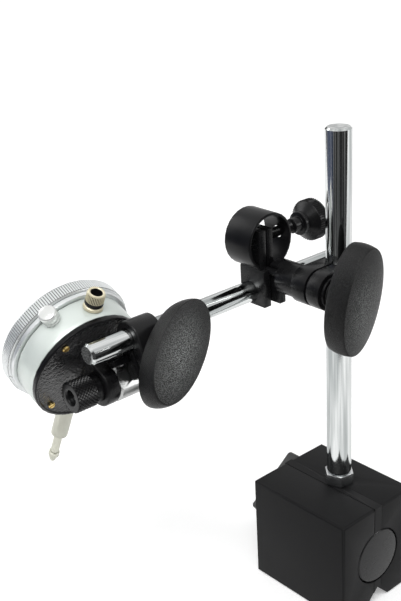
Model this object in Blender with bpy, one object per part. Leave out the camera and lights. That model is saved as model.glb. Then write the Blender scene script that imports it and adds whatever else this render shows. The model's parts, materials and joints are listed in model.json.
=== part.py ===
"""Dial indicator on a jointed magnetic stand: two steel poles round a turning magnet, a column, a split
column clamp with a fine adjuster, an arm, an end clamp and a plunger dial indicator held by its back lug.
Metres, +Z up, the pole soles lie on Z = 0."""

import math

import bmesh
import bpy
from mathutils import Matrix, Vector

# ---- where the stand sits in the shared frame: column axis measured from the bounding box centre
column_x = 0.02971
column_y = 0.04666

# fits
gap = 0.0003  # between seated faces
slide_clearance = 0.0001  # rod in a clamp bore, on the radius
bore_clearance = 0.00025  # pin or shaft in its hole, on the radius
overshoot = 0.0015  # how far a cutter reaches past a face
weld = 0.0006  # how far joined shapes sink into one another

# magnetic base
base_length = 0.0600
base_width = 0.0500
base_height = 0.0550
base_back_length = 0.0307  # column axis to the switch face
base_far_width = 0.0203  # column axis to the far side face
spacer_width = 0.0050
rotor_bore_share = 0.26546  # of the base's height
rotor_bore_radius = base_height * rotor_bore_share
rotor_axis_share = 0.4945  # of the base's height
rotor_axis_height = base_height * rotor_axis_share
groove_half_share = 0.15455
groove_half_width = base_height * groove_half_share
groove_depth_share = 0.15455
groove_depth = base_height * groove_depth_share
base_edge = 0.0008
cap_thickness = 0.0030
rotor_strip_width = 0.0040
rotor_strip_depth = 0.0012
switch_shaft_radius = 0.0040
lever_hub_radius = 0.0120
lever_hub_depth = 0.0060
lever_depth = 0.0172
lever_reach = 0.0255
lever_tail = 0.0105
lever_width = 0.0112
lever_edge = 0.0012
lever_angle = 35.0  # degrees above the +Y direction
lever_screw_radius = 0.0030
lever_screw_height = 0.0018
lever_screw_length = 0.0100
slot_width = 0.0008
slot_depth = 0.0008

# column
column_diameter = 0.0120
column_length = 0.1733
column_chamfer = 0.0008
stud_diameter = 0.0080
stud_length = 0.0110
nut_across_flats = 0.0130
nut_thickness = 0.0060
nut_chamfer = 0.0008

# column clamp and its bolt
clamp_height = 0.1635  # bolt axis above the soles
clamp_reach = 0.0144  # column axis to bolt axis
cheek_radius = 0.0089
clamp_half_width = 0.00845
back_cheek = 0.0084
slit_width = 0.0013
clamp_edge = 0.0006
bolt_diameter = 0.0080
bolt_in_knob = 0.0100
bolt_in_boss = 0.0150
washer_radius = 0.0075
washer_thickness = 0.0015
washer_edge = 0.0003

# wing knobs
hub_radius = 0.0066
hub_length = 0.0052
pad_thickness = 0.0144
pad_length = 0.0504
pad_width = 0.0234
pad_crown = 0.0028
pad_round_power = 2.05
column_knob_turn = 17.0  # degrees from upright
end_knob_turn = 46.8

# fine adjuster
boss_radius = 0.0079
boss_length = 0.0169
arm_offset = 0.0342  # column axis to arm axis, sideways
arm_drop = 0.0082  # bolt axis to arm axis, downwards
leaf_thickness = 0.0036
holder_thickness = 0.0042
leaf_gap = 0.0008
leaf_joint = 0.0050  # bolt axis to the joint between the leaves
body_leaf_front = 0.0193
body_leaf_back = 0.0405
body_leaf_foot = 0.0121
holder_front = 0.0244
holder_back = 0.0403
holder_foot = 0.0143
shoulder_height = 0.0042
neck_front = 0.0268
neck_back = 0.0400
neck_top = 0.0225
ring_radius = 0.01375
ring_wall = 0.0012
ring_length = 0.0167
ring_rise = 0.0164  # bolt axis to ring axis
ring_shift = 0.0030  # bolt axis to ring axis, towards the dial
ring_mouth = 0.0094
ring_centre_x = 0.0344
pivot_radius = 0.0018
pivot_rise = 0.0030
adjust_radius = 0.0025
adjust_collar_radius = 0.0058
adjust_collar_length = 0.0022
adjust_shank_radius = 0.0037
adjust_shank_length = 0.0046
adjust_cone_length = 0.0038
adjust_head_radius = 0.0101
adjust_head_length = 0.0057
adjust_free_thread = 0.0082
adjust_teeth = 18
adjust_tooth = 0.0005
adjust_spring_wire = 0.00030
adjust_spring_radius = 0.0024
adjust_spring_turns = 3

# arm
arm_diameter = 0.0100
arm_far = 0.1180  # column axis to the dial end
arm_tail = 0.0420
arm_chamfer = 0.0010
clearance_hole = 0.0009  # arm through the fixed leaf, on the radius

# end clamp
end_clamp_y = 0.0899  # column axis to the clamp's middle
end_clamp_length = 0.0138
end_half_width = 0.0082
end_foot = 0.0182
end_bolt_drop = 0.0108
end_tilt = 25.0  # degrees that the cheeks lean
end_back_cheek = 0.0084
end_corner = 0.0015
barrel_radius = 0.0094
barrel_side = 0.0166
barrel_drop = 0.0156
barrel_length = 0.0198
barrel_edge = 0.0008
lug_stud_diameter = 0.0060
lug_stud_in_barrel = 0.0079
lug_stud_in_nut = 0.0105
lug_nut_radius = 0.0073
lug_nut_length = 0.0132
lug_nut_collar = 0.0024
knurl_depth = 0.00035
lug_nut_knurls = 14
lug_nut_rows = 5
pad_block_length = 0.0083
pad_block_height = 0.0034
pad_block_width = 0.0044
pad_block_drop = 0.0062
pad_block_side = 0.0032

# dial indicator, distances along its axis are from the back cover's outer face, shares are of the case radius
case_radius = 0.0284
dial_tilt = 22.7  # degrees that the back cover leans
dial_turn = 4.4  # degrees that the stem is turned from square to the lug
dial_yaw = 2.5  # degrees that the cover's face is turned from square to the lug
lug_thickness = 0.0066
lug_reach = 0.0109
lug_radius = 0.0092
lug_shift = 0.0012  # lug's middle from the dial's axis
cover_share = 0.9895
cover_radius = case_radius * cover_share
cover_thickness = 0.0024
cover_rim = 0.0012
cover_recess = 0.0005
cover_screw_x_share = 0.5927
cover_screw_x = case_radius * cover_screw_x_share
cover_screw_y_share = 0.5927
cover_screw_y = case_radius * cover_screw_y_share
cover_screw_radius = 0.0016
cover_screw_height = 0.0009
cover_screw_shank = 0.0008
cover_screw_length = 0.0058
post_share = 0.1087
post_radius = case_radius * post_share
post_end = 0.0090
case_back_share = 0.985
case_inner_share = 0.8841
case_back_radius = case_radius * case_back_share
case_inner_radius = case_radius * case_inner_share
case_end = 0.0152
neck_share = 0.9565
neck_radius = case_radius * neck_share
neck_end = 0.0184
plate_flange_share = 0.8442
plate_flange_radius = case_radius * plate_flange_share
plate_flange = 0.0010
plate_seat = 0.0157
stem_depth = 0.0089
stem_diameter = 0.0080
stem_reach = 0.0223
stem_end = case_radius + stem_reach
stem_flange_radius = 0.0046
stem_flange = 0.0020
stem_root_share = 0.8261
stem_root = case_radius * stem_root_share
stem_bore_clearance = 0.00015
boss_rise = 0.0018
boss_end = case_radius + boss_rise
spindle_diameter = 0.0040
spindle_reach = 0.0340
spindle_end = case_radius + spindle_reach
spindle_rise = 0.0034
spindle_top = case_radius + spindle_rise
rack_pitch = 0.000625
rack_travel = 0.0100
rack_margin = 0.0019
tooth_addendum = 0.00014
tooth_dedendum = 0.00025
pinion_teeth = 16
gear_teeth = 100
centre_teeth = 10
gear_module_share = 0.007246
gear_module = case_radius * gear_module_share
arbor_radius = 0.0007
rack_axis = 0.0030
counter_axis = 0.0040
pinion_from = 0.0075
pinion_to = 0.0105
gear_from = 0.0143
gear_to = 0.0150
centre_pinion_from = 0.0141
centre_pinion_to = 0.0155
plate_thickness = 0.0012
rear_plate_from = 0.0043
rear_plate_thickness = 0.0010
rear_plate_share = 0.6812
rear_plate_radius = case_radius * rear_plate_share
front_plate_share = 0.8732
front_plate_radius = case_radius * front_plate_share
bush_radius = 0.0020
bush_end = 0.0194
pillar_radius = 0.0013
guide_pin_rise = 0.0080
guide_pin_radius = 0.0007
guide_pin_share = 0.45
guide_pin_reach = case_radius * guide_pin_share
guide_from_share = 0.1993
guide_from_x = case_radius * guide_from_share
guide_side_share = 0.3188
guide_to_x = case_radius * guide_side_share
guide_from_y = 0.0052
guide_to_share = 0.7790
guide_to_y = case_radius * guide_to_share
guide_to_z = 0.0121
guide_slot_margin = 0.0012
return_spring_x_share = 0.4167
return_spring_x = case_radius * return_spring_x_share
return_spring_wire = 0.00022
return_spring_radius = 0.0014
return_spring_turns = 6
return_spring_low_share = 0.4710
return_spring_low = case_radius * return_spring_low_share
post_pin_radius = 0.0006
contact_collar_radius = 0.0026
contact_collar = 0.0026
contact_radius_top = 0.0021
contact_radius_end = 0.0016
contact_length = 0.0069
cap_radius = 0.0042
cap_bore = 0.0026
cap_height = 0.0064
cap_ring = 0.0016
cap_teeth = 12
cap_tooth = 0.00025
bezel_share = 1.1042
bezel_radius = case_radius * bezel_share
bezel_lip_share = 1.06
bezel_lip_radius = case_radius * bezel_lip_share
bezel_from = 0.0155
bezel_lip_end = 0.0176
bezel_grip_from = 0.0184
bezel_grip_to = 0.0240
bezel_end = 0.0254
bezel_ledge_share = 0.8696
bezel_ledge_radius = case_radius * bezel_ledge_share
bezel_ledge_from = 0.0192
bezel_ledge_to = 0.0200
bezel_seat_share = 0.9203
bezel_seat_radius = case_radius * bezel_seat_share
crystal_seat_share = 0.9638
crystal_seat_radius = case_radius * crystal_seat_share
crystal_seat = 0.0230
bezel_mouth_share = 0.9167
bezel_mouth_radius = case_radius * bezel_mouth_share
bezel_serrations = 20
serration_depth = 0.00035
crystal_thickness = 0.0012
crystal_dome = 0.0007
scale_thickness = 0.0004
scale_outer_share = 0.9058
scale_outer = case_radius * scale_outer_share
scale_inner_share = 0.6159
scale_inner = case_radius * scale_inner_share
inner_dial_share = 0.6014
inner_dial_radius = case_radius * inner_dial_share
inner_dial_from = 0.0200
foot_radius = 0.0010
foot_circle_share = 0.4891
foot_circle = case_radius * foot_circle_share
pointer_from = 0.0215
pointer_thickness = 0.0003
pointer_length_share = 0.8406
pointer_length = case_radius * pointer_length_share
pointer_tail = 0.0070
pointer_hub = 0.0017
pointer_half_width = 0.0008
counter_from = 0.0209
counter_length = 0.0046
counter_tail = 0.0018
counter_hub = 0.0010
counter_half_width = 0.0004
bezel_screw_angle = 53.0
bezel_screw_depth = 0.0133
bezel_screw_radius = 0.0041
bezel_screw_seat_share = 1.0688
bezel_screw_seat = case_radius * bezel_screw_seat_share
bezel_screw_height = 0.0045
bezel_screw_shank = 0.0015
bezel_clip_radius = 0.0039

# facet counts
round_fine = 34
round_mid = 26
round_small = 16
round_tiny = 10
knob_points = 28

# shares
knob_back_share = 0.975
knob_front_share = 0.965
knob_wall_share = 0.45
knob_face_share = 0.62
screw_top_share = 0.8
lever_hub_share = 0.75
tooth_root_share = 0.62
tooth_tip_share = 0.34
needle_tip_share = 0.18
pillar_shares = [(-0.507, -0.109), (0.543, 0.109), (-0.362, -0.551)]

half_turn = math.pi
full_turn = 2 * math.pi


for old in list(bpy.data.objects):
    bpy.data.objects.remove(old)


# ---------- materials
def material(name, colour, metallic, roughness):
    made = bpy.data.materials.get(name)
    if made is None:
        made = bpy.data.materials.new(name)
        made.use_nodes = True
        shader = made.node_tree.nodes["Principled BSDF"]
        shader.inputs["Base Color"].default_value = (*colour, 1.0)
        shader.inputs["Metallic"].default_value = metallic
        shader.inputs["Roughness"].default_value = roughness
        made.diffuse_color = (*colour, 1.0)
    return made


black_paint = ((0.03, 0.03, 0.032), 0.0, 0.5)
black_plastic = ((0.035, 0.035, 0.036), 0.0, 0.55)
black_steel = ((0.05, 0.05, 0.05), 0.9, 0.4)
chrome = ((0.8, 0.8, 0.82), 1.0, 0.08)
zinc = ((0.7, 0.71, 0.72), 1.0, 0.3)
nickel = ((0.72, 0.7, 0.62), 1.0, 0.25)
brass = ((0.72, 0.53, 0.2), 1.0, 0.3)
satin = ((0.68, 0.72, 0.7), 0.6, 0.45)
spring_steel = ((0.45, 0.45, 0.46), 1.0, 0.35)
glass = ((0.9, 0.95, 0.95), 0.0, 0.05)
white_card = ((0.85, 0.85, 0.83), 0.0, 0.6)
pointer_black = ((0.02, 0.02, 0.02), 0.0, 0.4)
magnet = ((0.2, 0.2, 0.21), 0.5, 0.5)


# ---------- shape helpers
def finish(name, bm, frame, look, smooth=True, sharp=35.0):
    """One named object from a bmesh, placed by a 4 x 4 frame."""
    bmesh.ops.remove_doubles(bm, verts=bm.verts, dist=1e-7)
    bmesh.ops.recalc_face_normals(bm, faces=bm.faces)
    mesh = bpy.data.meshes.new(name)
    bm.to_mesh(mesh)
    bm.free()
    obj = bpy.data.objects.new(name, mesh)
    bpy.context.scene.collection.objects.link(obj)
    obj.matrix_world = frame
    mesh.materials.append(material(name, *look))
    if smooth:
        mesh.shade_smooth()
        mesh.set_sharp_from_angle(angle=math.radians(sharp))
    return obj


def turned(name, profile, frame, look, segments=round_mid, axis="Z", looped=False):
    """A solid of revolution. The profile is (radius, along) from one end of the axis to the other, or a closed loop."""
    rings = []
    for radius, along in profile:
        if radius == 0:
            rings.append([(0, 0, along)])
        else:
            rings.append(
                [
                    (
                        radius * math.cos(full_turn * i / segments),
                        radius * math.sin(full_turn * i / segments),
                        along,
                    )
                    for i in range(segments)
                ]
            )
    return skinned(name, rings, frame, look, axis, looped)


def skinned(name, rings, frame, look, axis="Z", looped=False):
    """A skin over rings of points. A ring of one point is a pole, and flat end rings are capped."""
    turn = {
        "Z": Matrix.Identity(4),
        "X": Matrix(((0, 0, 1, 0), (1, 0, 0, 0), (0, 1, 0, 0), (0, 0, 0, 1))),
        "Y": Matrix(((0, 1, 0, 0), (0, 0, 1, 0), (1, 0, 0, 0), (0, 0, 0, 1))),
    }[axis]
    bm = bmesh.new()
    made = [[bm.verts.new(turn @ Vector(point)) for point in ring] for ring in rings]
    pairs = list(zip(made, made[1:]))
    if looped:
        pairs.append((made[-1], made[0]))
    for low, high in pairs:
        count = max(len(low), len(high))
        if count == 1:
            continue
        for i in range(count):
            j = (i + 1) % count
            if len(low) == 1:
                bm.faces.new((low[0], high[j], high[i]))
            elif len(high) == 1:
                bm.faces.new((low[i], low[j], high[0]))
            else:
                bm.faces.new((low[i], low[j], high[j], high[i]))
    if not looped:
        for ring in (made[0], made[-1]):
            if len(ring) > 2:
                bm.faces.new(ring)
    return finish(name, bm, frame, look)


def prism(name, outline, low, high, frame, look, axis="Z", smooth=True, edge=0.0, keep=None):
    """An outline extruded along an axis. With an edge it rounds the edges that keep() accepts."""
    turn = {
        "Z": lambda a, b, c: (a, b, c),
        "X": lambda a, b, c: (c, a, b),
        "Y": lambda a, b, c: (b, c, a),
    }[axis]
    bm = bmesh.new()
    bottom = [bm.verts.new(turn(a, b, low)) for a, b in outline]
    top = [bm.verts.new(turn(a, b, high)) for a, b in outline]
    bm.faces.new(bottom[::-1])
    bm.faces.new(top)
    count = len(outline)
    for i in range(count):
        j = (i + 1) % count
        bm.faces.new((bottom[i], bottom[j], top[j], top[i]))
    bmesh.ops.recalc_face_normals(bm, faces=bm.faces)
    if edge:
        bm.edges.ensure_lookup_table()
        picked = []
        for item in bm.edges:
            if item.calc_face_angle(0) < math.radians(20):
                continue
            middle = (item.verts[0].co + item.verts[1].co) / 2
            if keep is None or keep(middle):
                picked.append(item)
        bmesh.ops.bevel(
            bm, geom=picked, offset=edge, segments=1, profile=0.5, affect="EDGES", clamp_overlap=True
        )
    return finish(name, bm, frame, look, smooth)


def block(name, low, high, frame, look, edge=0.0, keep=None):
    """A box between two corners."""
    outline = [(low[0], low[1]), (high[0], low[1]), (high[0], high[1]), (low[0], high[1])]
    return prism(name, outline, low[2], high[2], frame, look, edge=edge, keep=keep)


def rod(name, radius, low, high, frame, look, axis="Z", chamfer=0.0, segments=round_mid):
    """A plain round bar along an axis through the frame's origin."""
    if chamfer:
        profile = [
            (0, low),
            (radius - chamfer, low),
            (radius, low + chamfer),
            (radius, high - chamfer),
            (radius - chamfer, high),
            (0, high),
        ]
    else:
        profile = [(0, low), (radius, low), (radius, high), (0, high)]
    return turned(name, profile, frame, look, segments, axis)


def combine(target, other, operation):
    """Cuts or joins by another object, which is then only a helper."""
    step = target.modifiers.new(operation.lower() + "_" + other.name, "BOOLEAN")
    step.operation = operation
    step.object = other
    step.solver = "EXACT"
    other.hide_render = True
    other.display_type = "WIRE"
    return target


def cut(target, other):
    return combine(target, other, "DIFFERENCE")


def join(target, other):
    return combine(target, other, "UNION")


def shifted(frame, x=0.0, y=0.0, z=0.0):
    return frame @ Matrix.Translation((x, y, z))


def turned_about(frame, degrees, axis):
    return frame @ Matrix.Rotation(math.radians(degrees), 4, axis)


def arc(centre_a, centre_b, radius, start, end, steps):
    """Points on an arc, angles in degrees."""
    found = []
    for i in range(steps + 1):
        angle = math.radians(start + (end - start) * i / steps)
        found.append((centre_a + radius * math.cos(angle), centre_b + radius * math.sin(angle)))
    return found


def wheel_outline(teeth, pitch_radius, phase):
    """A fine toothed outline with pointed teeth, the first tooth centred on the phase angle in radians."""
    found = []
    for i in range(2 * teeth):
        radius = pitch_radius + (-tooth_dedendum if i % 2 else tooth_addendum)
        angle = phase + i * half_turn / teeth
        found.append((radius * math.cos(angle), radius * math.sin(angle)))
    return found


def gear_outline(teeth, pitch_radius, phase):
    """A toothed outline with trapezoid teeth, the first tooth centred on the phase angle in radians."""
    found = []
    tip = pitch_radius + tooth_addendum
    root = pitch_radius - tooth_dedendum
    step = full_turn / teeth
    for i in range(teeth):
        middle = phase + i * step
        for share, radius in (
            (-tooth_root_share, root),
            (-tooth_tip_share, tip),
            (tooth_tip_share, tip),
            (tooth_root_share, root),
        ):
            angle = middle + share * step / 2
            found.append((radius * math.cos(angle), radius * math.sin(angle)))
    return found


def grip_rings(radius, low, high, teeth, depth, chamfer):
    """Rings for a round grip with straight serrations between two chamfers."""
    found = []
    count = teeth * 2
    for along, plain in ((low, True), (low + chamfer, False), (high - chamfer, False), (high, True)):
        ring = []
        for i in range(count):
            angle = full_turn * i / count
            r = radius - chamfer if plain else radius - (depth if i % 2 else 0)
            ring.append((r * math.cos(angle), r * math.sin(angle), along))
        found.append(ring)
    return found


def plain_ring(radius, along, count):
    return [
        (radius * math.cos(full_turn * i / count), radius * math.sin(full_turn * i / count), along)
        for i in range(count)
    ]


def coil(name, radius, wire, turns, low, high, frame, look):
    """A coil spring round the frame's Z axis as one tube, with its least gap to itself printed."""
    curve = bpy.data.curves.new(name, "CURVE")
    curve.dimensions = "3D"
    curve.bevel_depth = wire
    curve.bevel_resolution = 1
    curve.use_fill_caps = True
    spline = curve.splines.new("POLY")
    per_turn = 8
    count = turns * per_turn + 1
    spline.points.add(count - 1)
    path = []
    for i in range(count):
        angle = full_turn * i / per_turn
        along = low + wire + (high - low - 2 * wire) * i / (count - 1)
        path.append(Vector((radius * math.cos(angle), radius * math.sin(angle), along)))
        spline.points[i].co = (*path[-1], 1.0)
    least = min(
        (path[i] - path[j]).length - 2 * wire
        for i in range(count)
        for j in range(i + per_turn // 2, count)
    )
    print(f"{name}: least gap to itself {least * 1000:.2f} mm")
    obj = bpy.data.objects.new(name, curve)
    bpy.context.scene.collection.objects.link(obj)
    obj.matrix_world = frame
    curve.materials.append(material(name, *look))
    return obj


def axes_frame(origin, x_axis, y_axis, z_axis):
    made = Matrix.Identity(4)
    for column, vector in enumerate((x_axis, y_axis, z_axis, origin)):
        for row in range(3):
            made[row][column] = vector[row]
    return made


# ---------- frames of the groups
column_frame = Matrix.Translation((column_x, column_y, 0))
base_mid_x = base_length / 2 - base_back_length
base_mid_y = base_far_width - base_width / 2
base_frame = shifted(column_frame, base_mid_x, base_mid_y, 0)
rotor_frame = shifted(base_frame, 0, 0, rotor_axis_height)
bolt_frame = shifted(column_frame, 0, -clamp_reach, clamp_height)
holder_frame = shifted(bolt_frame, 0, -leaf_joint, pivot_rise)
arm_frame = shifted(bolt_frame, -arm_offset, clamp_reach, -arm_drop)
adjust_frame = shifted(bolt_frame, -ring_centre_x, -leaf_joint, ring_rise)

tilt = math.radians(end_tilt)
side = Vector((math.cos(tilt), 0, math.sin(tilt)))
rise = Vector((-math.sin(tilt), 0, math.cos(tilt)))
along_arm = Vector((0, 1, 0))
arm_point = arm_frame.translation
end_frame = axes_frame(arm_point - along_arm * end_clamp_y, side, along_arm, rise)
end_bolt_frame = shifted(end_frame, 0, 0, -end_bolt_drop)
barrel_frame = shifted(end_frame, -barrel_side, 0, -barrel_drop)

lean = math.radians(dial_tilt)
back = Vector((math.cos(lean), 0, -math.sin(lean)))
square_up = Vector((math.sin(lean), 0, math.cos(lean)))
barrel_front = -end_clamp_length / 2 - (barrel_length - end_clamp_length) + gap
lug_middle = barrel_front - gap - lug_thickness / 2
lug_centre = shifted(barrel_frame, 0, lug_middle, 0).translation
dial_centre = lug_centre - back * lug_reach
square_frame = axes_frame(dial_centre, -along_arm, square_up, -back)
lug_frame = shifted(square_frame, 0, 0, -lug_reach)
dial_frame = turned_about(shifted(square_frame, -lug_shift, 0, 0), -dial_yaw, "Y")
dial_frame = turned_about(dial_frame, dial_turn, "Z")
up = (dial_frame.to_3x3() @ Vector((0, 1, 0))).normalized()
spindle_frame = shifted(dial_frame, 0, 0, stem_depth)


# ---------- magnetic base
half_length = base_length / 2
half_width = base_width / 2
half_spacer = spacer_width / 2


def outer_edges(sign):
    """Accepts the edges that show on a pole, not those against the spacer or the bore."""

    def accept(middle):
        return sign * middle.y > half_spacer + base_edge

    return accept


rotor_bore = rod(
    "rotor_bore", rotor_bore_radius, -half_length - overshoot, half_length + overshoot, rotor_frame,
    black_steel, "X", segments=round_mid,
)
groove_outline = [
    (-groove_half_width - overshoot, -overshoot),
    (groove_half_width + overshoot, -overshoot),
    (0, groove_depth),
]
groove = prism(
    "groove", groove_outline, -half_length - overshoot, half_length + overshoot, base_frame, black_steel, "X"
)
stud_hole_depth = stud_length + overshoot
stud_hole = rod(
    "stud_hole", stud_diameter / 2 + bore_clearance, base_height - stud_hole_depth, base_height + overshoot,
    column_frame, black_steel, segments=round_small,
)
for pole_name, sign in (("near_pole", -1), ("far_pole", 1)):
    edges_y = sorted((sign * half_spacer, sign * half_width))
    pole = block(
        pole_name, (-half_length, edges_y[0], 0), (half_length, edges_y[1], base_height), base_frame,
        black_paint, base_edge, outer_edges(sign),
    )
    for tool in (rotor_bore, groove, stud_hole):
        cut(pole, tool)
spacer_split = rotor_axis_height
upper_spacer = block(
    "upper_spacer", (-half_length, -half_spacer, spacer_split), (half_length, half_spacer, base_height),
    base_frame, brass,
)
for tool in (rotor_bore, stud_hole):
    cut(upper_spacer, tool)
lower_spacer = block(
    "lower_spacer", (-half_length, -half_spacer, 0), (half_length, half_spacer, spacer_split), base_frame,
    brass,
)
for tool in (rotor_bore, groove):
    cut(lower_spacer, tool)

cap_radius_base = rotor_bore_radius - gap
front_cap = turned(
    "switch_side_cap",
    [
        (switch_shaft_radius + bore_clearance, -half_length),
        (cap_radius_base, -half_length),
        (cap_radius_base, -half_length + cap_thickness),
        (switch_shaft_radius + bore_clearance, -half_length + cap_thickness),
    ],
    rotor_frame, black_steel, round_mid, "X", True,
)
rear_cap = rod(
    "blind_side_cap", cap_radius_base, half_length - cap_thickness, half_length, rotor_frame, black_steel, "X",
    chamfer=base_edge,
)
rotor_radius = rotor_bore_radius - bore_clearance
rotor_low = -half_length + cap_thickness + gap
rotor_high = half_length - cap_thickness - gap
shaft_out = -half_length - gap - lever_hub_depth * lever_hub_share
rotor = turned(
    "magnet_rotor",
    [
        (0, shaft_out),
        (switch_shaft_radius, shaft_out),
        (switch_shaft_radius, rotor_low),
        (rotor_radius, rotor_low),
        (rotor_radius, rotor_high),
        (0, rotor_high),
    ],
    rotor_frame, magnet, round_mid, "X",
)
for strip_side in (-1, 1):
    strip_z = sorted((strip_side * (rotor_radius - rotor_strip_depth), strip_side * (rotor_radius + overshoot)))
    strip = block(
        f"rotor_strip_{strip_side}",
        (rotor_low - overshoot, -rotor_strip_width / 2, strip_z[0]),
        (rotor_high + overshoot, rotor_strip_width / 2, strip_z[1]),
        rotor_frame, magnet,
    )
    cut(rotor, strip)

lever_frame = turned_about(rotor_frame, lever_angle, "X")
lever_face = -half_length - gap
lever = rod(
    "switch_lever", lever_hub_radius, lever_face - lever_hub_depth, lever_face, lever_frame, black_plastic, "X",
    chamfer=base_edge,
)
handle = block(
    "lever_handle",
    (lever_face - lever_depth, -lever_tail, -lever_width / 2),
    (lever_face - base_edge, lever_reach, lever_width / 2),
    lever_frame, black_plastic, lever_edge,
)
join(lever, handle)
shaft_socket = rod(
    "shaft_socket", switch_shaft_radius + bore_clearance, shaft_out - gap, lever_face + overshoot, lever_frame,
    black_plastic, "X", segments=round_small,
)
screw_seat_x = lever_face - lever_depth + lever_screw_height + 2 * gap
screw_well = rod(
    "screw_well", lever_screw_radius + bore_clearance, lever_face - lever_depth - overshoot, screw_seat_x,
    lever_frame, black_plastic, "X", segments=round_small,
)
screw_way = rod(
    "screw_way", lever_screw_radius / 2 + bore_clearance, screw_seat_x - overshoot, shaft_out + overshoot,
    lever_frame, black_plastic, "X", segments=round_tiny,
)
shaft_tap = rod(
    "shaft_tap", lever_screw_radius / 2 + bore_clearance, shaft_out - overshoot, lever_face, lever_frame,
    black_plastic, "X", segments=round_tiny,
)
for tool in (shaft_socket, screw_well, screw_way):
    cut(lever, tool)
cut(rotor, shaft_tap)
screw_top = lever_face - lever_depth + gap
lever_screw = turned(
    "lever_screw",
    [
        (0, screw_top),
        (lever_screw_radius - washer_edge, screw_top),
        (lever_screw_radius, screw_top + washer_edge),
        (lever_screw_radius, screw_top + lever_screw_height),
        (lever_screw_radius / 2, screw_top + lever_screw_height),
        (lever_screw_radius / 2, lever_face - gap),
        (0, lever_face - gap),
    ],
    lever_frame, zinc, round_small, "X",
)
screw_slot = block(
    "screw_slot",
    (screw_top - overshoot, -lever_screw_radius - overshoot, -slot_width / 2),
    (screw_top + slot_depth, lever_screw_radius + overshoot, slot_width / 2),
    lever_frame, zinc,
)
cut(lever_screw, screw_slot)

# ---------- column and its lock nut
column_radius = column_diameter / 2
column_low = base_height + nut_thickness
column_high = column_low + column_length
column = turned(
    "column",
    [
        (0, base_height - stud_length),
        (stud_diameter / 2, base_height - stud_length),
        (stud_diameter / 2, column_low + gap),
        (column_radius - column_chamfer, column_low + gap),
        (column_radius, column_low + gap + column_chamfer),
        (column_radius, column_high - column_chamfer),
        (column_radius - column_chamfer, column_high),
        (0, column_high),
    ],
    column_frame, chrome, round_mid,
)
corner_radius = nut_across_flats / math.sqrt(3)
nut_hex = [
    (corner_radius * math.cos(math.radians(60 * i + 20)), corner_radius * math.sin(math.radians(60 * i + 20)))
    for i in range(6)
]
nut = prism("column_nut", nut_hex, base_height + gap, column_low, column_frame, zinc)
nut_dome = turned(
    "nut_dome",
    [
        (0, base_height - overshoot),
        (corner_radius, base_height - overshoot),
        (corner_radius + overshoot, base_height + nut_chamfer),
        (corner_radius + overshoot, column_low - nut_chamfer),
        (nut_across_flats / 2, column_low + nut_chamfer / 2),
        (0, column_low + nut_chamfer / 2),
    ],
    column_frame, zinc, round_mid,
)
combine(nut, nut_dome, "INTERSECT")
nut_hole = rod(
    "nut_hole", stud_diameter / 2 + bore_clearance, base_height - overshoot, column_low + overshoot,
    column_frame, zinc, segments=round_small,
)
cut(nut, nut_hole)

# ---------- column clamp: a hairpin round the column with two cheeks on the bolt
clamp_frame = bolt_frame
clamp_outline = (
    arc(0, clamp_reach, clamp_half_width, 0, 180, round_small)
    + [(-clamp_half_width, -cheek_radius - overshoot), (clamp_half_width, -cheek_radius - overshoot)]
)
column_clamp = prism(
    "column_clamp", clamp_outline, -cheek_radius, cheek_radius, clamp_frame, black_steel, edge=clamp_edge,
    keep=lambda middle: abs(middle.z) > cheek_radius - clamp_edge and middle.y > -cheek_radius,
)
cheek_outline = (
    arc(0, 0, cheek_radius, 90, 270, round_small)
    + [(clamp_reach + clamp_half_width + overshoot, -cheek_radius - overshoot)]
    + [(clamp_reach + clamp_half_width + overshoot, cheek_radius + overshoot), (0, cheek_radius + overshoot)]
)
cheek_outline = [(-a if index < 0 else a, b) for index, (a, b) in enumerate(cheek_outline)]
cheek_shape = prism(
    "cheek_shape", cheek_outline, -clamp_half_width - overshoot, clamp_half_width + overshoot, clamp_frame,
    black_steel, "X",
)
combine(column_clamp, cheek_shape, "INTERSECT")
clamp_bore = rod(
    "clamp_bore", column_radius + slide_clearance, -cheek_radius - overshoot, cheek_radius + overshoot,
    shifted(clamp_frame, 0, clamp_reach, 0), black_steel,
)
slit_from = -clamp_half_width + back_cheek
clamp_slit = block(
    "clamp_slit",
    (slit_from, -cheek_radius - overshoot, -cheek_radius - overshoot),
    (slit_from + slit_width, clamp_reach, cheek_radius + overshoot),
    clamp_frame, black_steel,
)
bolt_hole = rod(
    "bolt_hole", bolt_diameter / 2 + bore_clearance, -clamp_half_width - overshoot,
    clamp_half_width + overshoot, clamp_frame, black_steel, "X", segments=round_small,
)
for tool in (clamp_bore, clamp_slit, bolt_hole):
    cut(column_clamp, tool)


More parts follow.
